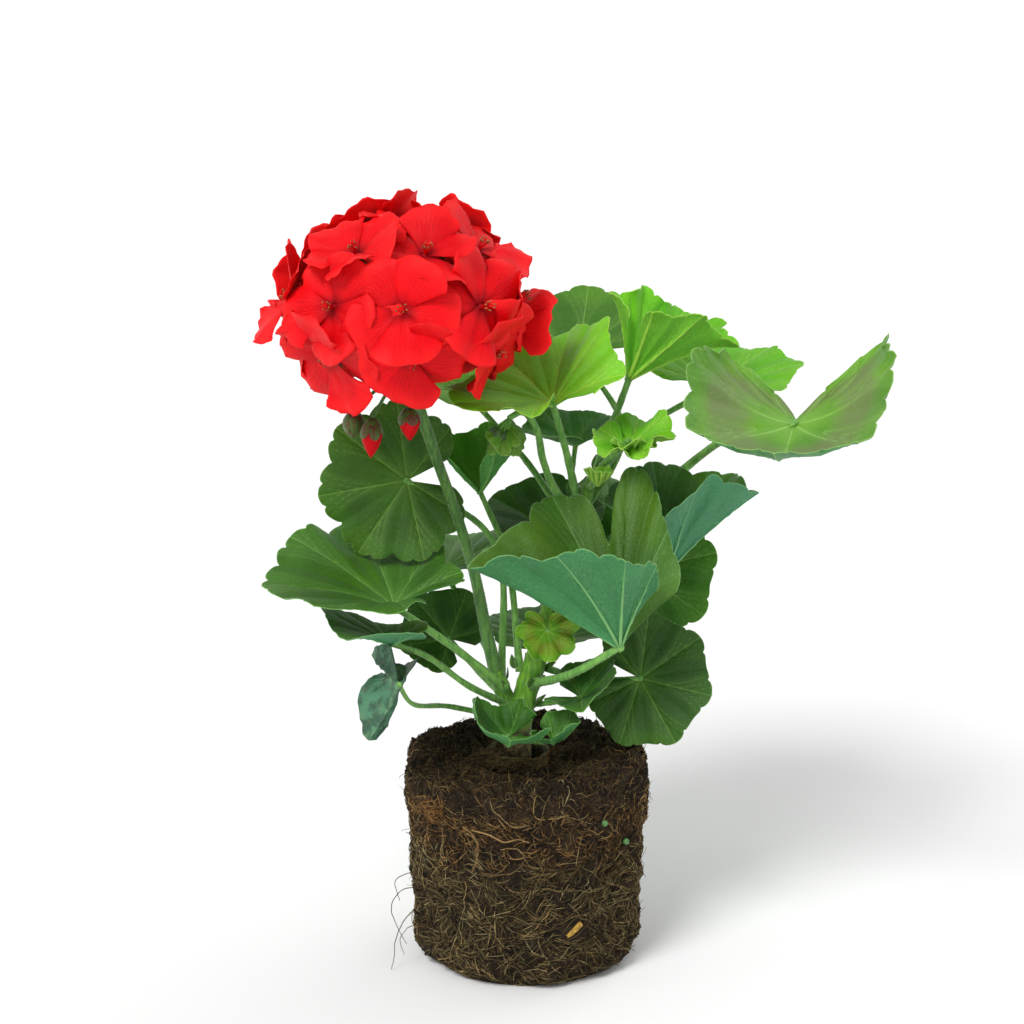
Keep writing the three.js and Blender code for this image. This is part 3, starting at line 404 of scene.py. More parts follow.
def leaf_paint(name, upper, lower, light, zone, dry=0.0, ring_tint=None):
    """Downy geranium leaf: pale rim, forking light veins, a darker ring and a duller back."""
    paint = Paint(name, 0.5, Subsurface_Weight=0.06, Subsurface_Scale=0.0015, Sheen_Weight=0.02,
                  Sheen_Roughness=0.5, Specular_IOR_Level=0.28)
    paint.shader.inputs["Subsurface Radius"].default_value = (0.5, 1.0, 0.2)
    upper = scaled(upper, 0.96, 1.05, 0.55)
    near, fork = paint.value("near_vein"), paint.value("near_fork")
    share = paint.value("share")
    wobble, cloud, grain = paint.noise(9, 2), paint.noise(24, 3), paint.noise(1.0, 3)
    net = paint.falling(paint.cells(1.9), 0.02, 0.2)
    width = paint.math("SUBTRACT", 0.62, paint.times(share, 0.34))
    main = paint.falling(paint.math("DIVIDE", near, width), 0.3, 1.15)
    side = paint.falling(fork, 0.1, 0.42)
    glow = paint.falling(fork, 0.2, 2.6)
    wide = paint.falling(near, 0.3, 3.4)
    spread = paint.plus(share, paint.times(wobble, 0.16))
    ring = paint.times(paint.band(spread, 0.34, 0.58), paint.falling(spread, 0.72, 0.95))
    heart = paint.falling(share, 0.04, 0.34)
    dark = ring_tint or scaled(upper, 0.52, 0.52, 0.6)
    pale = tuple(0.62 * c + 0.38 * d for c, d in zip(upper[:3], light[:3])) + (1.0,)
    warm = scaled(upper, 1.5, 1.15, 0.5)
    top = paint.mix(paint.band(cloud, 0.34, 0.7), scaled(upper, 0.74), upper)
    top = paint.over(top, warm, paint.band(paint.noise(38, 2), 0.45, 0.62), 0.55)
    top = paint.over(top, dark, ring, zone)
    top = paint.over(top, pale, heart, 0.5)
    top = paint.over(top, pale, paint.most(wide, glow), 0.22)
    top = paint.over(top, light, paint.most(main, paint.times(side, 0.6)), 0.5)
    top = paint.over(top, dark, net, 0.1)
    top = paint.over(top, light, paint.band(grain, 0.45, 0.75), 0.08)
    back = paint.mix(paint.band(cloud, 0.3, 0.75), scaled(lower, 0.78), lower)
    back = paint.over(back, light, net, 0.1)
    back = paint.over(back, light, paint.most(main, paint.times(side, 0.7)), 0.6)
    body = paint.mix(paint.value("below"), top, back)
    edge = paint.falling(paint.plus(paint.value("rim"), paint.times(wobble, 0.3)), 0.2, 0.75)
    body = paint.over(body, light, edge, 0.5)
    if dry:
        body = paint.over(body, tint(44, 66, 54), paint.band(paint.noise(7, 4), 0.44, 0.58), dry)
        fleck = paint.band(paint.noise(4, 4), 0.56, 0.66)
        body = paint.over(body, tint(120, 116, 80), fleck, dry * 0.35)
    paint.colour(body)
    paint.bump(paint.math("SUBTRACT", paint.times(grain, 0.4), paint.times(net, 0.28)), 0.3, 0.8)
    paint.feed(paint.shader.inputs["Roughness"], paint.plus(0.42, paint.times(cloud, 0.22)))
    return paint.material


def stalk_paint(name, green, shade, foot=None):
    """Fleshy stalk with fine lengthwise streaks; brown and corky toward the foot where asked."""
    paint = Paint(name, 0.5, Subsurface_Weight=0.15, Subsurface_Scale=0.002, Sheen_Weight=0.15,
                  Specular_IOR_Level=0.4)
    paint.shader.inputs["Subsurface Radius"].default_value = (0.5, 1.0, 0.2)
    streak = paint.noise(1.6, 3, paint.stretched(1, 1, 0.12))
    body = paint.mix(paint.band(streak, 0.35, 0.65), shade, green)
    body = paint.over(body, shade, paint.band(paint.noise(14, 2), 0.45, 0.7), 0.4)
    rise = paint.times(streak, 0.5)
    if foot:
        old = paint.value("old")
        bark = paint.mix(paint.band(paint.noise(2.6, 5), 0.35, 0.65), foot, tint(126, 112, 66))
        corky = paint.band(paint.plus(old, paint.times(streak, 0.3)), 0.45, 0.8)
        body = paint.mix(corky, body, bark)
        rise = paint.plus(rise, paint.times(old, paint.noise(1.4, 5)))
    paint.colour(body)
    paint.bump(rise, 0.3, 0.7)
    return paint.material


def petal_paint():
    """Velvety scarlet with fine darker veins that run out from the heart, painted shade at the base
    where the petals meet, and a painted highlight toward the tips.
    """
    paint = Paint("petal_scarlet", 0.55, Subsurface_Weight=0.04, Subsurface_Scale=0.002,
                  Sheen_Weight=0.05, Sheen_Roughness=0.5, Specular_IOR_Level=0.14)
    paint.shader.inputs["Subsurface Radius"].default_value = (1.0, 0.05, 0.03)
    paint.shader.inputs["Sheen Tint"].default_value = tint(255, 70, 60)
    out = paint.value("out")
    line = paint.plus(paint.times(paint.value("across"), 26.0), paint.times(paint.noise(4, 3), 7.0))
    veins = paint.falling(paint.math("ABSOLUTE", paint.math("SINE", line)), 0.0, 0.5)
    veins = paint.times(veins, paint.falling(out, 0.5, 1.0))
    body = paint.mix(paint.band(paint.noise(11, 3), 0.3, 0.75), tint(224, 0, 16), tint(248, 10, 20))
    body = paint.over(body, tint(200, 0, 16), paint.value("tone"), 0.6)
    # painted highlight: lighter orange-red toward the petal tips
    body = paint.over(body, tint(254, 40, 38), paint.band(out, 0.55, 1.0), 0.4)
    body = paint.over(body, tint(146, 0, 14), veins, 0.4)
    # painted shade: the petal darkens to deep red toward its base, where the petals meet and
    # overlap
    body = paint.over(body, tint(112, 0, 14), paint.falling(out, 0.02, 0.36), 0.8)
    body = paint.over(body, tint(240, 44, 46), paint.value("below"), 0.3)
    paint.colour(body)
    paint.bump(paint.plus(paint.times(veins, -0.5), paint.noise(1.6, 3)), 0.25, 0.6)
    return paint.material


def peat_paint():
    """Damp peat: black-brown crumbs, lighter where fibres lie."""
    paint = Paint("peat_damp", 0.95, Specular_IOR_Level=0.2)
    grain = paint.noise(1.3, 6, roughness=0.75)
    body = paint.mix(paint.band(paint.noise(9, 4), 0.35, 0.7), tint(26, 21, 15), tint(54, 42, 28))
    body = paint.over(body, tint(100, 78, 52), paint.band(grain, 0.52, 0.66), 0.85)
    body = paint.over(body, tint(8, 7, 6), paint.falling(grain, 0.3, 0.45), 0.85)
    paint.colour(body)
    paint.bump(grain, 1.8, 1.0)
    return paint.material


def root_paint():
    """Roots and fibres, each with its own tone: dark to orange-brown, or dark to grey-olive."""
    paint = Paint("root_fibre", 0.9, Specular_IOR_Level=0.2)
    tone = paint.value("tone")
    low, high = paint.band(tone, 0.0, 0.5), paint.band(tone, 0.5, 1.0)
    brown = paint.mix(high, paint.mix(low, tint(26, 19, 12), tint(98, 68, 38)), tint(180, 134, 78))
    green = paint.mix(high, paint.mix(low, tint(26, 23, 15), tint(94, 86, 56)), tint(164, 154, 110))
    body = paint.mix(paint.value("olive"), brown, green)
    body = paint.over(body, tint(30, 24, 16), paint.band(paint.noise(2.5, 4), 0.42, 0.68), 0.4)
    paint.colour(body)
    return paint.material


def plain_paint(name, light, shade, size, roughness, depth):
    """Two mottled tones with a fine relief."""
    paint = Paint(name, roughness)
    paint.colour(paint.mix(paint.band(paint.noise(size, 4), 0.35, 0.68), shade, light))
    paint.bump(paint.noise(size * 0.5, 4), depth, 0.7)
    return paint.material


STALK = stalk_paint("stalk_green", tint(124, 178, 80), tint(86, 142, 58))
PEDUNCLE = stalk_paint("flower_stalk_green", tint(92, 140, 56), tint(58, 102, 40))
STEM = stalk_paint("stem_green", tint(116, 174, 46), tint(80, 132, 32), tint(58, 52, 28))
SEPAL = stalk_paint("sepal_green", tint(98, 140, 60), tint(70, 100, 46))
BUD = stalk_paint("bud_green", tint(70, 104, 44), tint(44, 72, 34))
CALYX = stalk_paint("calyx_green", tint(62, 104, 28), tint(96, 40, 22))
DOWN = plain_paint("plant_down", tint(196, 214, 170), tint(170, 196, 140), 2, 0.7, 0.05)
SCAR = plain_paint("leaf_scar", tint(196, 158, 100), tint(140, 104, 58), 1.4, 0.7, 0.3)
ANTHER = plain_paint("anther_rust", tint(196, 110, 52), tint(120, 52, 30), 0.6, 0.7, 0.1)
MOSS = plain_paint("sleeve_moss", tint(92, 92, 48), tint(40, 36, 22), 2.2, 0.95, 0.6)
PELLET = plain_paint("pellet_green", tint(92, 146, 76), tint(58, 104, 50), 1.2, 0.35, 0.1)
CHIP = plain_paint("chip_wood", tint(196, 160, 62), tint(146, 108, 38), 1.6, 0.75, 0.3)
PETAL = petal_paint()
PEAT = peat_paint()
ROOT = root_paint()
# ------------------------------------------------------------------ leaves
# The same leaves as in the solids, down to bulges. way: the leaf stalk, from its foot to the joint
# with the blade. tip: where the midrib points. face: where the upper side faces. A bulge has its
# place, width, added reach and added lift. Angles are in degrees, sizes in millimetres.
# The rest is the scene's own. flare: how much a blade starts steeper and ends flatter, its rim
# staying where it is. rounded: rounder base lobes. quilt: swelling between the veins. deeper: of
# the notches. curl_on: added curl. closed: the base lobes part only some way out, over a low
# valley.
PLAIN = dict(fold=0, hood=0, curl=0, phase=0, notch=1, bulges=(), flare=0, rounded=0, quilt=1.0,
             deeper=1, curl_on=0, frill=0.02, closed=False)


def leaf(**own):
    return {**PLAIN, **own}


LEAVES = [
    leaf(name="front_funnel", look="blue", way=[[2, -3, 128], [20, -26, 141], [40, -38, 157]],
         tip=[-1, 0.05, 0], face=[0, 0, 1], size=60, stalk=2.2, lobes=7, teeth=3, sinus=14,
         lift=60, curl=4, ruffle=5, waves=5, phase=0.5, notch=0.35, bulges=[(0, 12, 0.1, -20),
         (15, 45, 0.15, -17), (-42, 24, 0.22, -6), (-75, 8, -0.45, 0), (-108, 38, 0.5, 6),
         (-166, 19, 0, -20)], flare=9),
    leaf(name="left_fan", look="mid", way=[[-9, -4, 126], [-32, -12, 148], [-58, -24, 171]],
         tip=[-0.85, 0.5, 0], face=[-0.2, 0.05, 1], size=59, stalk=2.1, lobes=7, teeth=3, sinus=28,
         lift=22, ruffle=9, waves=4, phase=0.8, notch=0.6, bulges=[(-115, 32, -0.3, 0),
         (75, 30, 0.12, -9)], flare=8, frill=0.03),
    leaf(name="right_funnel", look="blue", way=[[17, 8, 176], [42, 8, 172], [63, 8, 178]],
         tip=[0.7, 0.7, 0], face=[0.25, 0, 1], size=54, stalk=1.8, lobes=5, teeth=3, sinus=20,
         lift=42, curl=6, ruffle=7, waves=4, phase=1, notch=0.5, bulges=[(-115, 50, 0.35, 18),
         (-45, 35, 0, 6)], flare=9),
    leaf(name="left_low", look="blue", way=[[-8, -2, 118], [-26, -19, 133], [-44, -29, 150],
         [-59, -42, 160]], tip=[-0.95, 0.1, 0.05], face=[-0.1, 0.1, 1], size=34, stalk=1.7,
         lobes=5, teeth=2, sinus=25, lift=16, curl=6, ruffle=10, waves=3,
         bulges=[(-90, 50, -0.35, -4)], flare=6),
    leaf(name="withered", look="dry", way=[[-8, -1, 111], [-34, -13, 121], [-50, -43, 133],
         [-55, -56, 146]], tip=[-0.4, -0.12, -0.9], face=[-0.25, 0.95, 0.1], size=33, stalk=1.4,
         lobes=5, teeth=2, sinus=30, lift=0, fold=70, hood=8, curl=6, ruffle=6, waves=3, phase=2,
         bulges=[(62, 42, -0.45, 14), (-62, 42, -0.45, 14)], quilt=2.2, curl_on=14, frill=0.06),
    leaf(name="left_back", look="dark", way=[[-8, 3, 118], [-20, 14, 126], [-35, 20, 142]],
         tip=[-0.7, 0.5, 0.6], face=[-0.1, -0.7, 0.7], size=25, stalk=1.5, lobes=5, teeth=2,
         sinus=25, lift=12, hood=5, ruffle=6, waves=3, phase=1),
    leaf(name="base_cup", look="mid", way=[[-5, -5, 102], [-6, -15, 106], [-8, -29, 113]],
         tip=[-0.85, -0.4, 0.15], face=[-0.1, -0.36, 1], size=30, stalk=1.4, lobes=5, teeth=2,
         sinus=25, lift=15, curl=8, ruffle=12, waves=3, phase=0.6, bulges=[(-85, 42, -0.32, -6)],
         flare=-8, quilt=1.7, deeper=1.5, curl_on=24, frill=0.07),
    leaf(name="base_small", look="blue", way=[[1, -4, 101.5], [7, -10, 103], [12, -18, 106.5]],
         tip=[0.9, -0.5, 0.1], face=[0, -0.3, 1], size=18, stalk=1.2, lobes=5, teeth=2, sinus=25,
         lift=22, curl=10, ruffle=10, waves=3, phase=1, quilt=1.6, curl_on=20, frill=0.06),
    leaf(name="young_low", look="light", way=[[4, -2, 142], [7, -8, 150], [9, -14, 157]],
         tip=[0.1, -0.4, -0.9], face=[0, -1, 0.4], size=16, stalk=1.2, lobes=7, teeth=1, sinus=15,
         lift=15, ruffle=22, waves=7, quilt=1.7, deeper=2.4, frill=0.08),
    leaf(name="right_small", look="dark", way=[[3, 1, 117], [14, -4, 120], [24, -9, 124]],
         tip=[0.8, -0.4, 0.3], face=[-0.1, -0.3, 1], size=24, stalk=1.3, lobes=5, teeth=2,
         sinus=25, lift=15, hood=10, curl=5, ruffle=14, waves=3, quilt=1.5, deeper=1.6,
         frill=0.06),
    leaf(name="right_round", look="dark", way=[[6, 4, 134], [28, 10, 126], [51, 2, 129]],
         tip=[1, -0.3, -0.15], face=[0, -1, 0.3], size=34, stalk=1.7, lobes=7, teeth=2, sinus=15,
         lift=6, curl=-4, ruffle=6, waves=3, phase=1),
    leaf(name="right_mid", look="mid", way=[[9, 6, 154], [28, 26, 162], [50, 34, 170]],
         tip=[1, 0.2, 0.15], face=[-0.1, -0.85, 0.5], size=38, stalk=1.7, lobes=7, teeth=2,
         sinus=15, lift=4, fold=5, curl=-6, ruffle=6, waves=3),
    leaf(name="right_saddle", look="mid", way=[[14, 8, 168], [41, 34, 187], [64, 48, 207],
         [92, 30, 235], [114, -24, 253]], tip=[-0.24, -1, 0], face=[-0.05, -0.17, 1], size=61,
         stalk=2.4, lobes=7, teeth=3, sinus=34, lift=-4, fold=22, hood=32, curl=2, ruffle=8,
         waves=4, bulges=[(122, 26, 0.28, 4), (-120, 40, 0.04, -2)], flare=-22, rounded=0.16,
         frill=0.018, closed=True),
    leaf(name="high_right", look="light", way=[[26, 11, 214], [50, 38, 234], [84, 48, 252]],
         tip=[0.6, 0.7, 0.1], face=[-0.1, -0.4, 0.9], size=44, stalk=1.9, lobes=7, teeth=2,
         sinus=20, lift=12, fold=5, hood=10, ruffle=8, waves=3, phase=2, flare=5, frill=0.045),
    leaf(name="umbrella", look="light", way=[[22, 5, 212], [17, -4, 236], [11, -12, 259]],
         tip=[-0.5, 0.85, 0], face=[-0.24, 0.15, 1], size=45, stalk=2, lobes=7, teeth=2, sinus=25,
         lift=15, curl=5, ruffle=10, waves=4, phase=1, bulges=[(-80, 45, 0.12, 24),
         (75, 40, 0.22, -6)], flare=7, quilt=1.25, deeper=1.5, frill=0.085),
    leaf(name="bright_fan", look="light", way=[[30, 8, 222], [38, 11, 245], [45, 12, 265]],
         tip=[0.7, 0.4, -0.5], face=[0.53, 0.18, 0.82], size=52, stalk=2.1, lobes=7, teeth=2,
         sinus=20, lift=52, curl=5, ruffle=8, waves=4, flare=5, quilt=1.25, deeper=1.4,
         frill=0.08),
    leaf(name="pale_mid", look="mid", way=[[22, 10, 204], [20, 22, 214], [22, 32, 230]],
         tip=[-0.6, 0.8, 0], face=[0, -0.1, 1], size=28, stalk=1.6, lobes=5, teeth=2, sinus=25,
         lift=22, ruffle=8, waves=3, frill=0.04),
    leaf(name="high_back", look="mid", way=[[22, 12, 198], [44, 48, 232], [24, 66, 264]],
         tip=[-0.6, 0.8, 0.1], face=[0, -0.4, 0.9], size=50, stalk=1.8, lobes=7, teeth=2, sinus=20,
         lift=10, fold=5, hood=5, ruffle=8, waves=3, phase=1),
    leaf(name="under_head", look="dark", way=[[-11, 3, 126], [-15, 13, 190], [-53, 6, 220]],
         tip=[-1, -0.1, -0.15], face=[0.05, -1, 0.25], size=40, stalk=1.8, lobes=7, teeth=3,
         sinus=18, lift=5, curl=-4, ruffle=7, waves=3, phase=1),
    leaf(name="behind_head", look="blue", way=[[-3, 3, 132], [-9, 22, 180], [-21, 25, 210]],
         tip=[0.3, 0.9, 0], face=[-0.1, 0, 1], size=34, stalk=1.8, lobes=5, teeth=2, sinus=25,
         lift=48, curl=4, ruffle=8, waves=3),
    leaf(name="mid_back", look="dark", way=[[10, 8, 158], [12, 24, 178], [8, 38, 190]],
         tip=[0.1, 0.9, 0.4], face=[0, -0.6, 0.8], size=31, stalk=1.7, lobes=5, teeth=2, sinus=25,
         lift=10, ruffle=8, waves=3),
    leaf(name="back_left", look="mid", way=[[-5, 4, 112], [-18, 28, 134], [-38, 48, 166]],
         tip=[-0.6, 0.8, 0], face=[-0.1, 0.15, 1], size=48, stalk=1.9, lobes=7, teeth=2, sinus=20,
         lift=10, fold=5, hood=5, curl=-8, ruffle=9, waves=4),
    leaf(name="back_low", look="mid", way=[[-2, 5, 116], [4, 26, 122], [12, 46, 132]],
         tip=[0.2, 1, 0.1], face=[0, 0.1, 1], size=40, stalk=1.7, lobes=7, teeth=2, sinus=20,
         lift=12, hood=10, curl=-10, ruffle=9, waves=3, phase=1),
    leaf(name="back_right", look="mid", way=[[7, 7, 148], [22, 44, 164], [42, 80, 180]],
         tip=[0.7, 0.8, 0.1], face=[0.1, 0.1, 1], size=42, stalk=1.8, lobes=7, teeth=2, sinus=20,
         lift=15, curl=-6, ruffle=9, waves=4, phase=2),
    leaf(name="back_high", look="light", way=[[20, 12, 196], [0, 40, 220], [-26, 58, 246]],
         tip=[-0.8, 0.7, 0.2], face=[-0.1, 0.1, 1], size=44, stalk=1.8, lobes=7, teeth=2, sinus=20,
         lift=18, curl=-4, ruffle=9, waves=4, phase=1),
]

KIDNEY_TAPER = 0.28
KIDNEY_BASE = 0.14
LOBE_NOTCH = 0.09
TOOTH_NOTCH = 0.055
BLADE_HALF = 0.26  # half the thickness of a blade
BLADE_ROWS = 26
BLADE_STEPS = 24  # columns per lobe, a multiple of the teeth
VEIN_STEPS = (-0.028, -0.012, 0.012, 0.028)  # more columns beside each main vein
FORKS = ((0.3, 0.34), (0.52, 0.24), (0.7, 0.13))  # where side veins start, and how far out they go

# display colours of the upper side, the underside, and veins and rim; strength of the dark zone
LOOKS = {
    "dark": ((44, 86, 24), (54, 116, 56), (108, 152, 62), 0.45),
    "mid": ((64, 118, 30), (68, 134, 70), (136, 180, 84), 0.4),
    "light": ((96, 172, 26), (100, 172, 54), (172, 212, 90), 0.12),
    "blue": ((80, 120, 36), (60, 132, 84), (130, 184, 116), 0.35),
    "dry": ((60, 112, 84), (76, 130, 98), (124, 166, 122), 0.15),
}
OWN_LOOKS = {
    "right_saddle": ((94, 154, 50), (70, 134, 74), (160, 204, 108), 0.75),
    "left_fan": ((60, 110, 32), (66, 136, 84), (128, 184, 88), 0.5),
    "under_head": ((56, 100, 22), (58, 116, 56), (122, 166, 70), 0.5),
    "pale_mid": ((78, 144, 70), (90, 152, 86), (164, 206, 122), 0.3),
    "bright_fan": ((100, 186, 18), (102, 182, 40), (182, 224, 80), 0.08),
    "umbrella": ((108, 188, 28), (100, 170, 40), (182, 224, 84), 0.14),
    "front_funnel": ((66, 108, 26), (58, 132, 78), (140, 194, 118), 0.35),
    "right_funnel": ((54, 98, 24), (62, 134, 90), (130, 188, 124), 0.35),
    "behind_head": ((82, 148, 42), (88, 162, 78), (150, 198, 104), 0.2),
    "young_low": ((84, 148, 20), (92, 148, 42), (150, 194, 66), 0.4),
    "base_cup": ((50, 104, 26), (60, 126, 66), (118, 170, 82), 0.4),
    "base_small": ((54, 110, 28), (62, 130, 70), (120, 172, 84), 0.35),
    "right_small": ((46, 98, 28), (54, 118, 56), (122, 170, 78), 0.5),
}
RING_TINTS = {"right_saddle": (112, 120, 78), "young_low": (128, 88, 32),
              "umbrella": (122, 148, 40)}
DRYNESS = 0.7  # of the withered leaf


def bulges_at(leaf, angle):
    """Added reach and added lift at an angle."""
    reach, lift = np.zeros_like(angle), np.zeros_like(angle)
    for place, width, more_reach, more_lift in leaf["bulges"]:
        near = np.exp(-((angle - math.radians(place)) / math.radians(width)) ** 2)
        reach, lift = reach + more_reach * near, lift + more_lift * near
    return reach, lift


def leaf_reach(leaf, angle, share):
    along = np.clip(angle / math.radians(180 - leaf["sinus"]), -1, 1)
    kidney = 1 - KIDNEY_TAPER * along ** 2 - (KIDNEY_BASE + leaf["rounded"]) * along ** 8
    depth = leaf["notch"] * leaf["deeper"]
    lobe = depth * LOBE_NOTCH * np.abs(np.sin(along * leaf["lobes"] * math.pi / 2)) ** 4
    teeth = np.abs(np.cos(along * leaf["lobes"] * leaf["teeth"] * math.pi / 2)) ** 0.55
    tooth = depth ** 0.5 * TOOTH_NOTCH * (1 - teeth)
    return kidney * (1 + bulges_at(leaf, angle)[0]) * (1 - (lobe + tooth) * share ** 6)


def leaf_grid(leaf, angle, share):
    """Points of the middle sheet of a blade."""
    first, second, third = frame_of(leaf["tip"], leaf["face"])
    lift = np.radians(leaf["lift"] + leaf["fold"] * np.sin(angle) ** 2
                      + leaf["hood"] * (1 - np.cos(angle)) / 2 + bulges_at(leaf, angle)[1])
    if leaf["closed"]:
        lift = lift - 0.4 * np.exp(-((math.pi - np.abs(angle)) / 0.5) ** 2) * (1 - share)
    wave = leaf["ruffle"] * np.cos(leaf["waves"] * angle + leaf["phase"])
    bend = np.radians(leaf["curl"] + leaf["curl_on"] + wave - 2 * leaf["flare"])
    run, rise = arc_run(lift + math.radians(leaf["flare"]), bend, share)
    reach = leaf["size"] * leaf_reach(leaf, angle, share)
    flat = (reach * run)[..., None]
    return (np.asarray(leaf["way"][-1], float) + flat * np.cos(angle)[..., None] * first
            + flat * np.sin(angle)[..., None] * second + (reach * rise)[..., None] * third)


def blade(skin, leaf, seed):
    """One closed blade with its veins raised below, sunk above, and down along the rim."""
    half = math.radians(180 - leaf["sinus"])
    lobes, size, quilt = leaf["lobes"], leaf["size"], leaf["quilt"]
    parts = np.arange(-lobes * BLADE_STEPS // 2, lobes * BLADE_STEPS // 2 + 1) / BLADE_STEPS
    near_veins = [k + off for k in range(-(lobes // 2), lobes // 2 + 1) for off in VEIN_STEPS]
    places = np.unique(np.concatenate([parts, near_veins]))
    shares = 0.02 + 0.98 * (1 - (1 - np.linspace(0, 1, BLADE_ROWS)) ** 1.3)
    place, share = np.meshgrid(places, shares)
    grown = np.clip((share - 0.3) / 0.6, 0, 1) if leaf["closed"] else 1.0
    angle = place * 2 / lobes * (math.pi + (half - math.pi) * grown)
    points = leaf_grid(leaf, angle, share)
    reach = size * leaf_reach(leaf, angle, share)
    vein = np.clip(np.round(place), -(lobes // 2), lobes // 2)
    radial = reach * share
    turn = angle - vein * 2 / lobes * half
    near = radial * np.abs(np.sin(np.clip(turn, -1.5, 1.5)))
    between = np.clip(np.abs(place - vein) * 2, 0, 1)
    swell = quilt * 0.026 * size * share * np.sin(math.pi * between) * (1 - 0.35 * share ** 4)
    groove = -0.4 * quilt * np.exp(-(near / 1.2) ** 2) * (1 - 0.5 * share)
    spacing = radial * 2 / lobes * half
    fork = np.full(angle.shape, 99.0)
    for start, reach_out in FORKS:
        off = reach_out * np.clip((share - start) / (1 - start), 0, 1) ** 0.85
        gap = np.abs(np.abs(place - vein) - off) * spacing
        fork = np.minimum(fork, np.where(share > start, gap, 99))
    forks = -0.2 * quilt * np.exp(-(fork / 0.7) ** 2)
    wander = (0.28 * rough(points, 5, 1, seed) * share
              + 1.3 * rough(points, 17, 1, seed + 9) * share ** 2)
    frill = leaf["frill"] * size * share ** 6 * np.cos(math.pi * place * leaf["teeth"] + seed)
    frill = frill * (0.6 + 0.4 * np.sin(2.3 * angle + seed))
    normal = unit(np.cross(np.gradient(points, axis=0), np.gradient(points, axis=1)))
    points = points + normal * (swell + groove + forks + wander * quilt + frill)[..., None]
    thickness = min(1, size / 40)
    ridge_width = 0.32 + 0.55 * (1 - share)
    ridge = (0.7 * (1 - share) + 0.16) * np.exp(-(near / ridge_width) ** 2) * thickness
    ridge = ridge + 0.14 * np.exp(-(fork / 0.35) ** 2) * thickness
    edge = 1 - 0.45 * share ** 20
    sheet(skin, points, BLADE_HALF * edge, (BLADE_HALF + ridge) * edge, near_vein=near,
          near_fork=fork, share=share, rim=(1 - share) * reach)
    rng = np.random.default_rng(int(seed * 7) + 1)
    rim = points[-1]
    gaps = np.linalg.norm(np.diff(rim, axis=0), axis=1)
    run = np.concatenate([[0], np.cumsum(gaps)])
    at = np.sort(rng.uniform(0, run[-1], int(run[-1] / 0.42)))
    base = np.stack([np.interp(at, run, rim[:, k]) for k in range(3)], axis=1)
    outward = unit(points[-1] - points[-3])
    ahead = np.stack([np.interp(at, run, outward[:, k]) for k in range(3)], axis=1)
    hairs(skin, base - 0.05 * ahead, ahead + rng.normal(0, 0.3, base.shape),
          rng.uniform(0.35, 0.8, len(base)), 0.045, 2)


def petiole(skin, way, radii, seed, sides=12, count=36):
    """A downy leaf stalk."""
    path = spline(way, count)
    thick = along_list(radii, count) * (1 + 0.05 * np.sin(np.arange(count) * 0.9 + seed))
    thick[0] *= 1.12
    rings, spokes = tube(skin, path, thick, sides, kind=1)
    tube_hairs(skin, rings, spokes, 0.16, 1.0, 2, int(seed) + 70)


for number, part in enumerate(LEAVES):
    own = Skin()
    name, thick = part["name"], part["stalk"]
    upper, lower, light, zone = OWN_LOOKS.get(name, LOOKS[part["look"]])
    ring_tint = RING_TINTS.get(name)
    paint = leaf_paint(name + "_skin", tint(*upper), tint(*lower), tint(*light), zone,
                       DRYNESS if part["look"] == "dry" else 0.0, ring_tint and tint(*ring_tint))
    blade(own, part, number + 1.0)
    petiole(own, part["way"], [thick, thick * 0.8, thick * 0.68], number)
    first, _, third = frame_of(part["tip"], part["face"])
    ball(own, np.asarray(part["way"][-1], float) - 0.15 * third,
         (thick * 0.95, thick * 1.05, thick * 0.62), first, kind=1)
    piece(name, own, [paint, STALK, DOWN], ["leaf_" + name])


def patch(rows, cols, start=0.0):
    """A grid of u from start to 1 and v from -1 to 1."""
    return np.meshgrid(np.linspace(start, 1, rows), np.linspace(-1, 1, cols), indexing="ij")


# ------------------------------------------------------------------ flower head
HEAD_CENTRE = np.array([-52.0, -22.0, 303.0])
HEAD_WIDTH_RADIUS = 46
HEAD_HEIGHT_RADIUS = 34
FLORET_RADIUS = 25.0
UMBEL = np.array([-50.0, -20.0, 270.0])
FLORET_ROWS = [(6, 1, 40), (42, 6, -70), (78, 8, -86), (109, 7, -134)]  # polar angle, number, turn
FRONT_FLORET = 8  # it lies over all its neighbours
CROWDED = 0.85  # share of a floret's size within which a petal meets a neighbour
PETALS = 5
PETAL_ROWS, PETAL_COLS = ((17, 17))


def turned(turn, second, third):
    """Direction at an angle about the axis that second and third stand square to."""
    return math.cos(turn) * second + math.sin(turn) * third


def floret_places():
    """Number, middle, facing, size and spin of each floret on the dome."""
    places = []
    for polar_mean, count, turn in FLORET_ROWS:
        for step in range(count):
            number = len(places) + 1
            polar = math.radians(polar_mean + 9 * (draw(number) - 0.5))
            around = math.radians(turn + step * 360 / count + 10 * (draw(number + 40) - 0.5))
            flat = math.sin(polar) * np.array([math.cos(around), math.sin(around)])
            centre = HEAD_CENTRE + np.array([*(HEAD_WIDTH_RADIUS * flat),
                                             HEAD_HEIGHT_RADIUS * math.cos(polar)])
            facing = np.array([*(flat / HEAD_WIDTH_RADIUS), math.cos(polar) / HEAD_HEIGHT_RADIUS])
            size = FLORET_RADIUS * (0.94 + 0.12 * draw(number + 80))
            places.append((number, centre, unit(facing), size,
                           math.radians(72 * draw(number + 120))))
    return places


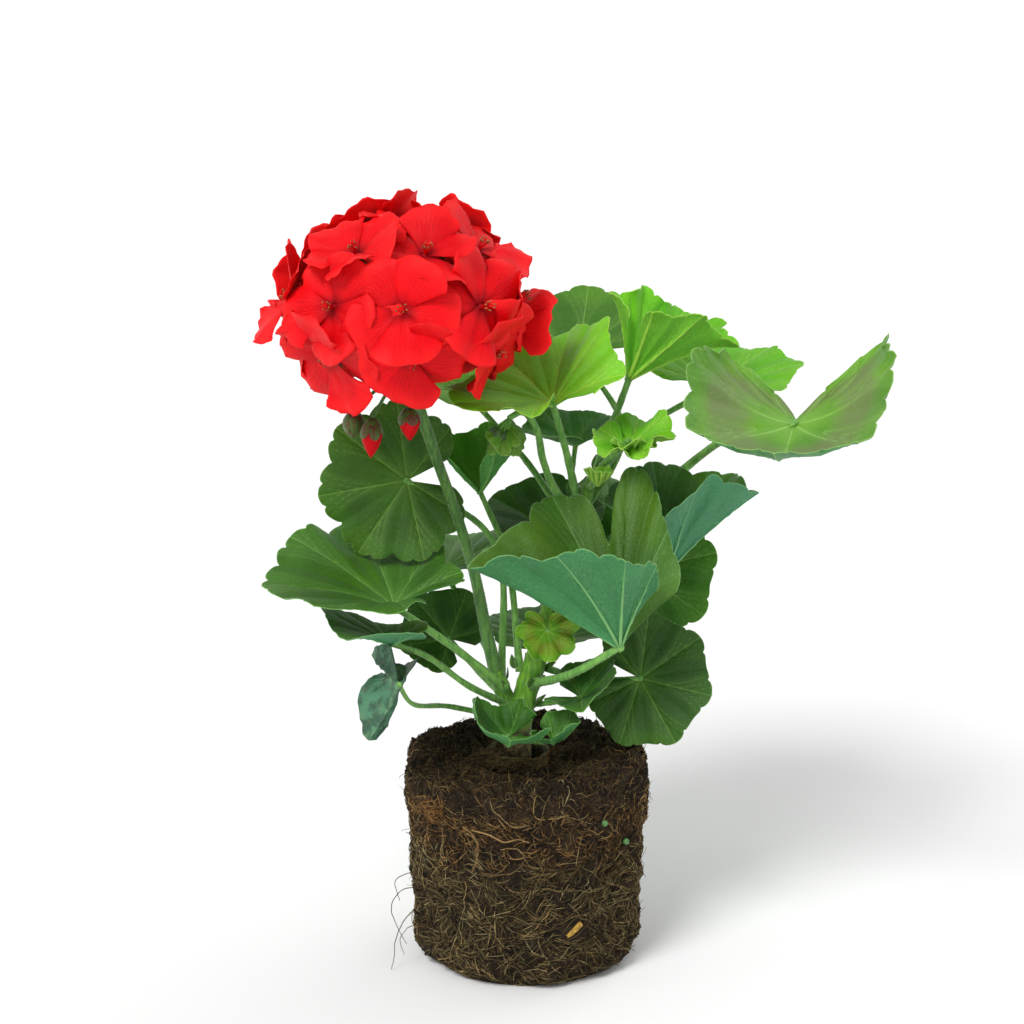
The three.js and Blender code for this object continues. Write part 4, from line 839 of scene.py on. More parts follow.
def floret(skin, number, centre, facing, size, spin):
    """Five overlapping rounded petals on narrow claws, with stamens and a forked style."""
    first, second, third = frame_of(facing, [0.02, 0.01, 1])
    u, v = patch(PETAL_ROWS, PETAL_COLS, 0.03)
    for petal in range(PETALS):
        seed = number * 7 + petal
        around = spin + petal * 2 * math.pi / PETALS + 0.2 * (draw(seed + 17) - 0.5)
        tip = centre + 0.8 * size * turned(around, second, third) + 0.2 * size * facing
        others = [(np.linalg.norm(tip - other[1]), other[0])
                  for other in FLORETS if other[0] != number]
        nearest, rival = min(others)
        lift, bend, reach = 24, -28, size * (1.0 + 0.12 * (draw(seed + 30) - 0.5))
        if nearest < CROWDED * size and RANK[number] > RANK[rival]:
            lift, bend = 36, -26
        elif nearest < CROWDED * size:
            lift, bend, reach = 8, -26, reach * 0.92
        lift += 20 * (draw(seed) - 0.5)
        bend += 26 * (draw(seed + 3) - 0.5)
        broad = reach * (0.51 + 0.09 * draw(seed + 60))
        run, rise = arc_run(math.radians(lift), math.radians(bend) - 0.25 * v ** 2, u)
        round_off = 0.42 * (1 - np.cos(0.5 * math.pi * v)) * u ** 2
        dent = 0.045 * np.exp(-(v / 0.16) ** 2) * u ** 6 * (draw(seed + 90) > 0.45)
        ahead = reach * run * (1 - round_off - dent)
        width = broad * (0.12 + 0.88 * np.sin(0.5 * math.pi * u ** 0.95) ** 1.4)
        side = width * np.sin(0.5 * math.pi * v)
        roll = (0.22 if number % 2 else -0.22) + 0.36 * (draw(seed + 41) - 0.5)
        ripple = 0.05 * np.sin((1.4 + draw(seed + 5)) * math.pi * v + 6 * draw(seed + 11)) * u ** 2
        ripple = ripple + 0.024 * np.sin(5 * math.pi * v + 6 * draw(seed + 14)) * u ** 5
        ripple = ripple - 0.03 * np.exp(-(v / 0.14) ** 2) * np.sin(math.pi * u)
        cup = ((0.14 * (draw(seed + 70) - 0.6)) * v ** 2 * np.sin(0.5 * math.pi * u)
               - 0.06 * v ** 4 * u)
        high = reach * (rise + ripple + cup) + side * math.sin(roll) * u + 0.3 * petal * (1 - u)
        side = side * math.cos(roll)
        x = ahead * math.cos(around) - side * math.sin(around)
        y = ahead * math.sin(around) + side * math.cos(around)
        grid = centre + x[..., None] * second + y[..., None] * third + high[..., None] * first
        grid = grid + (0.8 * rough(grid, 7, 2, seed) * u)[..., None] * first
        half = 0.2 - 0.08 * u ** 6
        sheet(skin, grid, half, half, out=u, across=v, tone=draw(seed + 23))
    heart = centre + 0.4 * first
    # out=0.1 puts the floret's heart in the petals' painted shade
    ball(skin, heart, (1.5, 1.6, 1.6), first, 1, out=0.1, tone=1.0)
    for stamen in range(7):
        flat = turned(stamen * 2 * math.pi / 7 + number, second, third)
        lean = unit(first + (0.18 + 0.2 * draw(number + stamen)) * flat)
        tip = heart + lean * (5.2 + 2.2 * draw(number * 3 + stamen))
        tube(skin, spline([heart + 0.7 * lean, heart + lean * 3, tip], 5),
             [0.32, 0.26, 0.2, 0.2, 0.18], 5, out=0.5, tone=0.6)
        anther = unit(lean + 0.8 * np.cross(lean, first) + 0.3 * second)
        ball(skin, tip, (0.95, 0.5, 0.5), anther, 0, kind=1)
    style = heart + first * 6.4
    tube(skin, [heart, heart + 3 * first, style], [0.4, 0.34, 0.3], 6, out=0.4, tone=0.8)
    for fork in range(5):
        flat = turned(fork * 2 * math.pi / 5 + 0.4 * number, second, third)
        knee = style + 0.7 * first
        tube(skin, [style - 0.2 * first, knee + 0.8 * flat, knee + 1.7 * flat],
             [0.26, 0.2, 0.1], 5, out=0.9, tone=0.2)


FLORETS = floret_places()
RANK = {place[0]: draw(place[0] + 200) + 2 * (place[0] == FRONT_FLORET) for place in FLORETS}
head = Skin()
for place in FLORETS:
    floret(head, *place)
piece("florets", head, [PETAL, ANTHER], ["flower_head"])


# ------------------------------------------------------------------ flower stalk and buds
STALK_WAY = [[-13, -2, 130], [-18, -2, 152], [-23, -1, 178], [-30, -4, 204], [-40, -11, 236], UMBEL]
# each bud's top and tip, and whether it shows red
BUDS = [([-66, -30, 257], [-67, -31, 240], True), ([-50, -36, 263], [-50, -37, 249], True),
        ([-74, -22, 258], [-75, -22, 246], False)]
SEPALS = 5
KNOB_RADIUS = 4.4
BUD_RADIUS = 3.9


def lance(skin, base, ahead, face, length, width, kind, curl, rows=8, cols=5):
    """A small pointed leaf, such as a sepal or bract."""
    first, second, third = frame_of(ahead, face)
    u, v = patch(rows, cols)
    half = 0.5 * width * (np.sin(math.pi * (0.12 + 0.86 * u) ** 0.8) + 0.04)
    rise = curl * length * u ** 2 - 0.35 * half * v ** 2
    grid = (np.asarray(base, float) + (length * u)[..., None] * first
            + (half * v)[..., None] * second + rise[..., None] * third)
    sheet(skin, grid, 0.14, 0.14, kind=kind)


def bud_form(top, tip, t):
    """Middle line, axes and radius of a hanging pointed bud at shares t of its length."""
    top, tip = np.asarray(top, float), np.asarray(tip, float)
    t = np.asarray(t, float)
    radius = 0.7 * (1 - t) + BUD_RADIUS * np.sin(math.pi * t ** 0.85) ** 0.85
    return top + (tip - top) * t[..., None], frame_of(tip - top, [0.2, 1, 0.1]), radius


def wound(at, axes, radius, turn):
    """Points round a middle line, at a radius and a turn."""
    return (at + (radius * np.cos(turn))[..., None] * axes[1]
            + (radius * np.sin(turn))[..., None] * axes[2])


stalk = Skin()
path = spline(STALK_WAY, 70)
swell = along_list([3.3, 2.7, 2.4, 2.3, 2.4, 2.9], 70)
rings, spokes = tube(stalk, path, swell, 16)
tube_hairs(stalk, rings, spokes, 0.1, 1.1, 2, 5)
ball(stalk, UMBEL, (KNOB_RADIUS,) * 3, (0, 0, 1), 2, kind=1, bumps=0.25)
for bract in range(10):
    turn = bract * 2 * math.pi / 10
    flat = np.array([math.cos(turn), math.sin(turn), 0])
    lance(stalk, UMBEL + 3 * flat - [0, 0, 1.5], flat - [0, 0, 0.5 + 0.4 * draw(bract)], [0, 0, 1],
          7.5, 3.4, 1, -0.15)
for number, centre, facing, _, _ in FLORETS:
    end = centre - facing * 0.8
    knee = end - facing * 9
    start = UMBEL + unit(knee - UMBEL) * KNOB_RADIUS * 0.7
    way = spline([start, (start + knee) / 2 - [0, 0, 1.5], knee, end], 16)
    rings, spokes = tube(stalk, way, along_list([0.75, 0.7, 0.75, 1.0, 1.5], 16), 8)
    tube_hairs(stalk, rings, spokes, 0.3, 0.7, 2, number + 900)
    _, second, third = frame_of(facing, [0.02, 0.01, 1])
    for sepal in range(SEPALS):
        flat = turned(sepal * 2 * math.pi / SEPALS + number, second, third)
        lance(stalk, end - facing * 1.2 + 0.9 * flat, flat + 0.15 * facing, facing,
              8.5, 2.7, 1, -0.12, 6, 3)
for number, (top, tip, red) in enumerate(BUDS):
    top, tip = np.asarray(top, float), np.asarray(tip, float)
    knee = np.array([(UMBEL[0] + top[0]) / 2, (UMBEL[1] + top[1]) / 2, UMBEL[2] - 1])
    rings, spokes = tube(stalk, spline([UMBEL, knee, top], 22), 0.75, 8)
    tube_hairs(stalk, rings, spokes, 0.25, 0.7, 2, number + 950)
    t = np.linspace(0, 0.97, 14)
    path, axes, radius = bud_form(top, tip, t)
    rings, spokes = tube(stalk, path, radius * (0.86 if red else 1) + 0.1, 16, kind=3)
    if not red:
        tube_hairs(stalk, rings, spokes, 0.16, 0.7, 2, number + 970)
    for sepal in range(SEPALS):
        u, v = patch(14, 9)
        covers = (0.46 if red else 0.74) + 0.1 * draw(sepal + number)
        at, _, shell = bud_form(top, tip, u * covers)
        turn = sepal * 2 * math.pi / SEPALS + 0.4
        turn = turn + 0.78 * v * np.sqrt(np.clip(1.04 - u ** 2.2, 0, 1))
        shell = shell + 0.35 + 0.3 * np.abs(u - 0.3) + 0.15 * v
        grid = wound(at, axes, shell, turn)
        sheet(stalk, grid[:, ::-1], 0.13, 0.13, kind=3)
        rng = np.random.default_rng(sepal + 10 * number)
        pick = rng.integers(0, grid.shape[0] * 9, 36)
        outward = unit(wound(0, axes, 1, turn).reshape(-1, 3)[pick])
        hairs(stalk, grid.reshape(-1, 3)[pick], outward + rng.normal(0, 0.3, outward.shape), 0.7,
              0.035, 2)
piece("flower_stalk_down", stalk, [PEDUNCLE, SEPAL, DOWN, CALYX], ["flower_stalk"])

for number, (top, tip, _) in enumerate([bud for bud in BUDS if bud[2]]):
    own = Skin()
    for fold in range(PETALS):
        u, v = patch(16, 9)
        at, axes, radius = bud_form(top, tip, 0.3 + 0.7 * u)
        radius = radius * (0.93 + 0.05 * (1 + v) * (1 - u)) + 0.1
        grid = wound(at, axes, radius, fold * 2 * math.pi / PETALS + 0.85 * v + 1.4 * u)
        # out gives each bud fold part of the petals' painted shade and part of their painted
        # highlight
        sheet(own, grid[:, ::-1], 0.14, 0.14, out=0.25 + 0.25 * (1 + v) * (1 - 0.4 * u), across=v,
              tone=1.0)
    piece("bud_petals_%d" % (number + 1), own, [PETAL], ["red_bud_%d" % (number + 1)])


# ------------------------------------------------------------------ young growth
YOUNG = dict(lobes=5, teeth=3, waves=5, quilt=2.2)
HIGH_STALK = [[33, 5, 227], [38, -2, 234], [44, -13, 243]]
HIGH_BLADES = [
    leaf(way=[[42, -13, 241]], tip=[-0.95, -0.1, 0.1], face=[0, -0.3, 1], size=16, lift=10,
         sinus=60),
    leaf(way=[[45, -15, 241]], tip=[0.3, -0.95, 0], face=[0, -0.3, 1], size=13, lift=18,
         sinus=75),
    leaf(way=[[45, -12, 242]], tip=[0.9, 0.4, 0.3], face=[-0.3, -0.3, 1], size=21, lift=10,
         sinus=60),
]
TIP_STALK = [[27, 7, 216], [29, 0, 220], [31, -5, 222]]
TIP_BLADES = [
    leaf(way=[[31, -5, 221]], tip=[-0.8, -0.6, 0], face=[0, 0, 1], size=10, lift=55, sinus=80),
    leaf(way=[[31, -4, 221]], tip=[0.9, 0.3, 0], face=[0, 0, 1], size=10, lift=50, sinus=80),
]
NOD_WAY = [[22, 5, 207], [13, 1, 216], [7, -5, 232], [4, -13, 248], [-2, -18, 257], [-8, -22, 255]]
NOD_BUD = np.array([-12.0, -24.0, 248.0])
NOD_BLADES = [
    leaf(way=[[-9.5, -22.5, 252.5]], tip=[-0.8, -0.3, -0.5], face=[-0.5, -0.3, 0.8], size=15,
         lift=-20, curl=-26, sinus=70),
    leaf(way=[[-8, -22, 253]], tip=[0.6, -0.5, -0.7], face=[0.6, -0.6, 0.5], size=15,
         lift=-20, curl=-26, sinus=70),
]
NOD_BUDS = 15
NOD_TURN = 2.4  # from one nodding bud to the next
YOUNG_SKIN = leaf_paint("young_leaf_skin", tint(106, 182, 30), tint(112, 176, 54),
                        tint(178, 216, 92), 0.1)
BRACT_SKIN = leaf_paint("bract_skin", tint(74, 124, 36), tint(84, 132, 48), tint(140, 176, 76), 0.1)


def shoot(seed, way, radii, blades, ruffle):
    """A young stalk with its folded, ruffled blades."""
    own = Skin()
    petiole(own, way, radii, seed, 10, 24)
    for number, part in enumerate(blades):
        blade(own, {**part, **YOUNG, "ruffle": ruffle}, number + 40.0 + seed)
        ball(own, part["way"][-1], (1.1, 1.1, 1.1), (0, 0, 1), 1, kind=1)
    return own


high = shoot(10, HIGH_STALK, [1.6, 1.3, 1.2], HIGH_BLADES, 24)
piece("young_leaves_high_fine", high, [YOUNG_SKIN, STALK, DOWN], ["young_leaves_high"])
tip = shoot(9, TIP_STALK, [1.6, 1.3, 1.2], TIP_BLADES, 14)
piece("young_leaves_tip_fine", tip, [YOUNG_SKIN, STALK, DOWN], ["young_leaves_tip"])

nod = shoot(3, NOD_WAY, [1.8, 1.6, 1.4], NOD_BLADES, 8)
crown = np.asarray(NOD_WAY[-1], float)
lean = unit(np.array([-0.3, -0.15, -1.0]))
_, second, third = frame_of(lean, [0.1, 1, 0.2])
for number in range(NOD_BUDS):
    turn = number * NOD_TURN
    spread = 3.6 * math.sqrt((number + 0.5) / NOD_BUDS)
    end = NOD_BUD + lean * (1.8 - 0.28 * spread ** 2) + spread * turned(turn, second, third)
    middle = (crown + end) / 2 + 0.4 * second * math.cos(turn)
    tube(nod, [crown, middle, end], [0.5, 0.42, 0.45], 6, kind=1)
    ball(nod, end, (2.5, 1.35, 1.35), unit(end - crown + 0.4 * lean), 1, kind=3)
    rng = np.random.default_rng(number + 30)
    ways = unit(rng.normal(0, 1, (60, 3)))
    hairs(nod, end + 1.3 * ways, ways, rng.uniform(0.5, 0.9, len(ways)), 0.045, 2)
piece("nodding_buds_fine", nod, [BRACT_SKIN, STALK, DOWN, BUD], ["nodding_buds"])


# ------------------------------------------------------------------ stem
STEM_FOOT = (-4.0, -1.0)
SLEEVE_FLOOR = 88
SLEEVE_TOP = 97.5
# way, radii and number of rings of the stem and its two side branches
STEM_WAYS = [
    ([[*STEM_FOOT, SLEEVE_FLOOR - 9], [*STEM_FOOT, SLEEVE_TOP], [-3, 0, 112], [1, 1, 128],
      [7, 2, 148], [15, 5, 178], [23, 8, 206], [25, 8, 216]],
     [6.2, 6, 5.2, 4.6, 4.3, 4.2, 4.6], 150),
    ([[-3, 0, 106], [-9, -1, 120], [-14, -2, 134]], [4.2, 4, 3.2], 50),
    ([[24, 8, 210], [29, 7, 220], [32, 6, 226]], [3.2, 2.6, 2], 40),
]
NODE_HEIGHTS = [103, 112, 118, 127, 134, 148, 156, 168, 176, 197, 205, 213]
STEM_SIDES = 28
CORKY_TO = 116  # height up to which the stem is brown


def stem_piece():
    """The stem with swollen nodes, small bracts at the leaves' feet, a leaf scar and a dry stub."""
    own = Skin()
    for number, (way, radii, count) in enumerate(STEM_WAYS):
        path = spline(way, count)
        thick = along_list(radii, count)
        for height in NODE_HEIGHTS:
            thick = thick + 0.42 * np.exp(-((path[:, 2] - height) / 1.5) ** 2)
        old = np.clip((CORKY_TO - path[:, 2]) / 18, 0, 1)
        rings, spokes = tube(own, path, thick, STEM_SIDES, old=old)
        body = own.points[-1][:count * STEM_SIDES]
        lumps = (0.28 * rough(body, 3.2, 1, number)
                 + 0.2 * np.repeat(old, STEM_SIDES) * rough(body, 1.5, 1, number + 4))
        body += spokes.reshape(-1, 3) * lumps[:, None]
        green = path[:, 2] > 108
        tube_hairs(own, rings[green], spokes[green], 0.09, 1.0, 1, 200 + number)
    for number, part in enumerate(LEAVES):
        foot, after = np.array(part["way"][:2], float)
        out = unit(after - foot)
        for side in (-1, 1):
            across = unit(np.cross(out, [0, 0, 1])) * side
            base = foot + out * (part["stalk"] + 0.6) + across * part["stalk"] * 0.9 - [0, 0, 0.6]
            lance(own, base, 0.5 * across + 0.5 * out + np.array([0, 0, 0.9]), out,
                  5.2 + 2 * draw(number + side), 4.0, 2, 0.12)
    foot = np.array([*STEM_FOOT, 0])
    ball(own, foot + [-5.2, -3.2, 101.5], (1.1, 2.6, 2.0), (-0.75, -0.6, 0.2), 1, kind=3, bumps=0.1)
    stub = spline([foot + [-3.5, -2.5, 103], foot + [-10, -6, 106.5], foot + [-16, -9, 110]], 16)
    tube(own, stub, along_list([1.6, 1.2, 1.0, 0.9], 16), 10, kind=3)
    piece("stem_fine", own, [STEM, DOWN, SEPAL, SCAR], ["stem"])


stem_piece()


# ------------------------------------------------------------------ root ball
BALL_HEIGHT = 96
BALL_TOP_RADIUS = 55
BALL_FOOT_RADIUS = 50
BALL_FLAT_RADIUS = 43
BALL_LUMP = 1.3
PEAT_COLS, PEAT_STEP = ((340, 1.05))
SLEEVE_CENTRE = np.array([-4.0, -3.0])
SLEEVE_RADIUS = 14
SLEEVE_WALL = 1.8
SIDE_TOP = 87
SHOULDER_RUN = 9
TOP_START = 52
RUN_END = 138  # as far as roots creep toward the middle of the top
CREEP_RADIUS = 53  # of the side, to turn a length round the ball into an angle
PELLETS = [[34, -42, 77], [44, -31, 64]]
PELLET_RADIUS = 1.5
CHIP_PLACE = [20.8, -47.6, 29]
CHIP_SIZE = [8.5, 2.4, 2.6]
SWIRL_SIZE = 21  # of the swirls that the fibres lie in
FIBRE_STEPS = 5
FIBRE_TAPER = [0.7, 1, 1, 0.85, 0.45]  # thickness at each step
# runs, lengths, radii, tones, how olive, how proud and how spread, by number of fibres
LOW_FIBRES = [
    (2600, (1, 66), (3, 8), (0.12, 0.24), (0.05, 0.4), (0.3, 0.9), 0.35, 0.9),
    (6200, (1, 62), (5, 14), (0.1, 0.2), (0.12, 0.8), (0.5, 1.0), 0.45, 0.4),
    (900, (1, 60), (6, 16), (0.12, 0.22), (0.75, 1.0), (0.4, 1.0), 0.5, 0.4),
    (700, (1, 60), (4, 9), (0.1, 0.18), (0.2, 0.8), (0.2, 0.9), 1.5, 1.2),
]
HIGH_FIBRES = [
    (1700, (54, 96), (3, 8), (0.12, 0.26), (0.05, 0.4), (0.0, 0.5), 0.4, 1.0),
    (2700, (57, 82), (3, 9), (0.1, 0.22), (0.25, 1.0), (0.0, 0.4), 0.5, 0.8),
    (900, (76, 98), (3, 8), (0.1, 0.2), (0.3, 0.8), (0.3, 0.8), 0.7, 0.9),
    (2600, (92, 138), (2.5, 8), (0.11, 0.24), (0.05, 0.6), (0.2, 0.8), 0.6, 1.2),
    (800, (60, 120), (3, 7), (0.1, 0.18), (0.2, 0.9), (0.2, 0.8), 1.6, 1.3),
]
# loose clumps of fibre: middle, spread, number, tones, how olive
CLUMPS = [([-40.0, -39.6, 81.0], [3.2, 1.4, 2.6], 150, (0.45, 0.9), 0.05),
          ([-15.5, -12.0, 96.2], [4.2, 3.8, 1.1], 330, (0.05, 0.6), 0.6),
          ([-7.0, -18.6, 95.4], [4.5, 1.6, 0.8], 150, (0.1, 0.7), 0.6),
          ([22.0, -24.0, 94.8], [5.0, 4.0, 0.9], 160, (0.1, 0.6), 0.7),
          ([-30.0, -26.0, 95.0], [6.0, 5.0, 0.9], 160, (0.05, 0.55), 0.5)]
# roots that stand clear of the ball, by where the front view shows them: way, thickness, tone
LOOSE_ROOTS = [
    ([[-24, -50.5, 77], [-17, -54.2, 76.6], [-10, -56, 73.8], [-4, -55.8, 74.8], [1, -54.4, 73]],
     0.42, 0.8),
    ([[-28, -49, 78], [-24, -52, 76], [-21.5, -54.4, 71], [-21.8, -54.6, 66], [-24, -52.6, 58]],
     0.45, 0.7),
    ([[-44, -26, 46], [-53, -22, 45], [-59, -22, 41], [-57, -25, 33]], 0.26, 0.3),
    ([[-46, -22, 38], [-56, -20, 36], [-61, -20, 28], [-58, -22, 18], [-54, -25, 12]], 0.24, 0.25),
    ([[-47, -20, 30], [-54, -22, 24], [-59, -24, 14], [-60, -26, 5], [-61, -28, 0.9]], 0.26, 0.35),
    ([[-44, -27, 22], [-52, -28, 22], [-57, -27, 15], [-55, -30, 9]], 0.22, 0.3),
]
ROOT_KNOT = [-21.8, -54.4, 69.5]


def ball_radius(height):
    taper = BALL_FOOT_RADIUS + (BALL_TOP_RADIUS - BALL_FOOT_RADIUS) * height / BALL_HEIGHT
    heel = np.maximum(0, 1 - height / 9)
    return taper - (BALL_FOOT_RADIUS - BALL_FLAT_RADIUS) * heel ** 2


def ball_lump(around, height):
    slow = np.sin(3 * around + height / 13) * np.cos(5 * around - height / 9)
    quick = np.sin(11 * around + height / 5) * np.sin(height / 4 + 2 * around)
    return BALL_LUMP * (slow + 0.7 * quick) * np.clip(height / 2.5, 0, 1)


def top_height(across, around):
    dip = -4 * np.exp(-((across - 16) ** 2) / 260)
    lumps = 1.6 * np.sin(4 * around + across / 6) * np.sin(across / 7 + 1)
    shoulder = np.where(across > 48, -((across - 48) ** 2) / 9, 0)
    return BALL_HEIGHT + dip + lumps + shoulder


def from_sleeve(points):
    return np.hypot(points[..., 0] - SLEEVE_CENTRE[0], points[..., 1] - SLEEVE_CENTRE[1])


def spots(pellet_room, chip_room):
    """Places of pellets and chip, with the room round each that is kept clear."""
    return [(np.asarray(place, float), PELLET_RADIUS + pellet_room) for place in PELLETS] + [
        (np.asarray(CHIP_PLACE, float), chip_room)]


def creep_radius(run, least):
    """Radius at a run, to turn a length round the ball into an angle."""
    return np.where(run < SIDE_TOP + SHOULDER_RUN, CREEP_RADIUS,
                    np.maximum(least, TOP_START - (run - SIDE_TOP - SHOULDER_RUN)))


def ball_skin(around, run, over=0.0):
    """Point of the peat's rough surface. run is the way up the side and on to the middle of the
    top, over the height that a point is lifted off the peat."""
    around, run = np.broadcast_arrays(np.asarray(around, float), np.asarray(run, float))
    side = np.minimum(run, SIDE_TOP)
    edge = ball_radius(side) + ball_lump(around, side)
    turn = np.clip((run - SIDE_TOP) / SHOULDER_RUN, 0, 1)
    across = np.maximum(TOP_START - np.maximum(run - SIDE_TOP - SHOULDER_RUN, 0), 0)
    flat = top_height(across, around)
    radius = np.where(run <= SIDE_TOP, edge, across + (edge - across) * np.cos(turn * math.pi / 2))
    height = np.where(run <= SIDE_TOP, side, side + (flat - side) * np.sin(turn * math.pi / 2))
    tilt = np.clip((run - 76) / 26, 0, 1) * math.pi / 2
    out = np.stack([np.cos(around) * np.cos(tilt), np.sin(around) * np.cos(tilt), np.sin(tilt)],
                   -1)
    points = np.stack([radius * np.cos(around), radius * np.sin(around), height], -1)
    crumbs = (1.1 * rough(points, 9, 2) + 0.7 * rough(points, 3.4, 2, 7.7)
              + 0.35 * rough(points, 1.6, 1, 3.3)
              - 1.3 * np.clip(np.abs(rough(points, 6.5, 1, 21)) * -6 + 1, 0, 1))
    crumbs = crumbs * (1 + 0.7 * np.clip((run - 84) / 10, 0, 1))  # looser on top
    settle = np.clip(height / 4, 0, 1) ** 1.5
    for place, reach in spots(1.2, 6.5):
        apart = np.linalg.norm(points - place, axis=-1)
        settle = settle * np.clip((apart - reach) / 2 + 0.5, 0.0, 1)
    proud = crumbs * settle + over - 0.7 * (1 - settle) * np.clip(height / 4, 0, 1)
    points = points + out * proud[..., None]
    inside = ((from_sleeve(points) < SLEEVE_RADIUS - 0.7) & (height > SLEEVE_FLOOR - 8)
              & (run > SIDE_TOP))
    soil = SLEEVE_FLOOR + 0.8 + 1.2 * crumbs + over
    points[..., 2] = np.maximum(np.where(inside, soil, points[..., 2]), 0)
    return points


def peat(skin):
    """The peat's closed surface, rings from the flat foot to the middle of the top."""
    top = SIDE_TOP + SHOULDER_RUN + TOP_START
    runs = np.concatenate([[0, 0.5], np.arange(1.2, top - 0.5, PEAT_STEP)])
    turns = 2 * math.pi * np.arange(PEAT_COLS) / PEAT_COLS
    low = [np.stack([r * np.cos(turns), r * np.sin(turns), 0 * turns], -1) for r in (12, 30)]
    grid = np.concatenate([np.array(low), ball_skin(*np.meshgrid(turns, runs))])
    ends = [[0, 0, 0], grid[-1].mean(axis=0)]
    skin.add(np.concatenate([grid.reshape(-1, 3), ends]), *ring_faces(*grid.shape[:2]))


def strand(skin, start, rise, length, heading, thick, tone, seed, sides, olive, wander=1.0):
    """A root or fibre that creeps over the ball, now in and now out of the peat."""
    count = max(6, int(length / (1.1)))
    step = length / count
    turn, run = [start], [rise]
    for i in range(count):
        heading += wander * 0.35 * noise.noise(Vector((seed * 1.7, i * step / 5, 0.3))) * step
        turn.append(turn[-1] + math.cos(heading) * step / creep_radius(run[-1], 6))
        run.append(min(max(run[-1] + math.sin(heading) * step, 3), RUN_END))
    t = np.linspace(0, 1, count + 1)
    weave = thick * (0.5 + 0.6 * np.sin(t * length / 4 + seed))
    ends = -1.6 * thick * (np.exp(-(t / 0.08) ** 2) + np.exp(-((1 - t) / 0.08) ** 2))
    points = ball_skin(np.array(turn), np.array(run), weave + ends)
    slim = thick * (0.5 + 0.5 * np.sin(math.pi * np.clip(0.1 + 0.85 * t, 0, 1)))
    tube(skin, points, slim * (1 + 0.15 * np.sin(t * length + seed)), sides, kind=1, tone=tone,
         olive=olive)


def fibres(skin, rng, count, rise, length, thick, tone, olive, proud, spread):
    """Short stiff fibres that lie over the ball in swirls. Each pair is a lowest and a highest
    value; proud is how far tips stand off, spread how loosely they follow the swirls."""
    count = count
    turn = rng.uniform(0, 2 * math.pi, count)
    run = rng.uniform(*rise, count)
    start = ball_skin(turn, run)
    heading = 2.6 * rough(start, SWIRL_SIZE, 1, 4.2) + rng.normal(0, spread, count)
    heading = heading + math.pi * rng.integers(0, 2, count)
    size = rng.uniform(*length, count) / (FIBRE_STEPS - 1)
    bend = rng.normal(0, 0.16, count)
    reach = creep_radius(run, 8)
    turns, runs = [turn], [run]
    for _ in range(FIBRE_STEPS - 1):
        turns.append(turns[-1] + np.cos(heading) * size / reach)
        runs.append(np.clip(runs[-1] + np.sin(heading) * size, 0.5, RUN_END))
        heading = heading + bend
    along = np.linspace(0, 1, FIBRE_STEPS)[None]
    over = (-0.5 + 0.9 * np.sin(math.pi * np.minimum(along * 1.15, 1))
            + (proud * rng.exponential(1, count))[:, None] * along ** 2)
    points = ball_skin(np.array(turns).T, np.array(runs).T, np.minimum(over, 4.0))
    points[..., 2] = np.maximum(points[..., 2], 0.25)
    clear = np.ones(count, bool)
    for place, room in spots(0.9, CHIP_SIZE[0] * 0.62):
        clear &= np.linalg.norm(points - place, axis=-1).min(axis=1) > room
    clear &= rough(start, 11, 2, 31.7) < rng.uniform(-0.15, 0.55, count)  # bare peat in patches
    clear &= (from_sleeve(points).min(axis=1) > SLEEVE_RADIUS - 1) | (run < SIDE_TOP)
    radii = rng.uniform(*thick, count)[:, None] * np.array(FIBRE_TAPER)[None]
    bundle(skin, points[clear], radii[clear], kind=1, tone=rng.uniform(*tone, count)[clear],
           olive=rng.uniform(*olive, count)[clear])


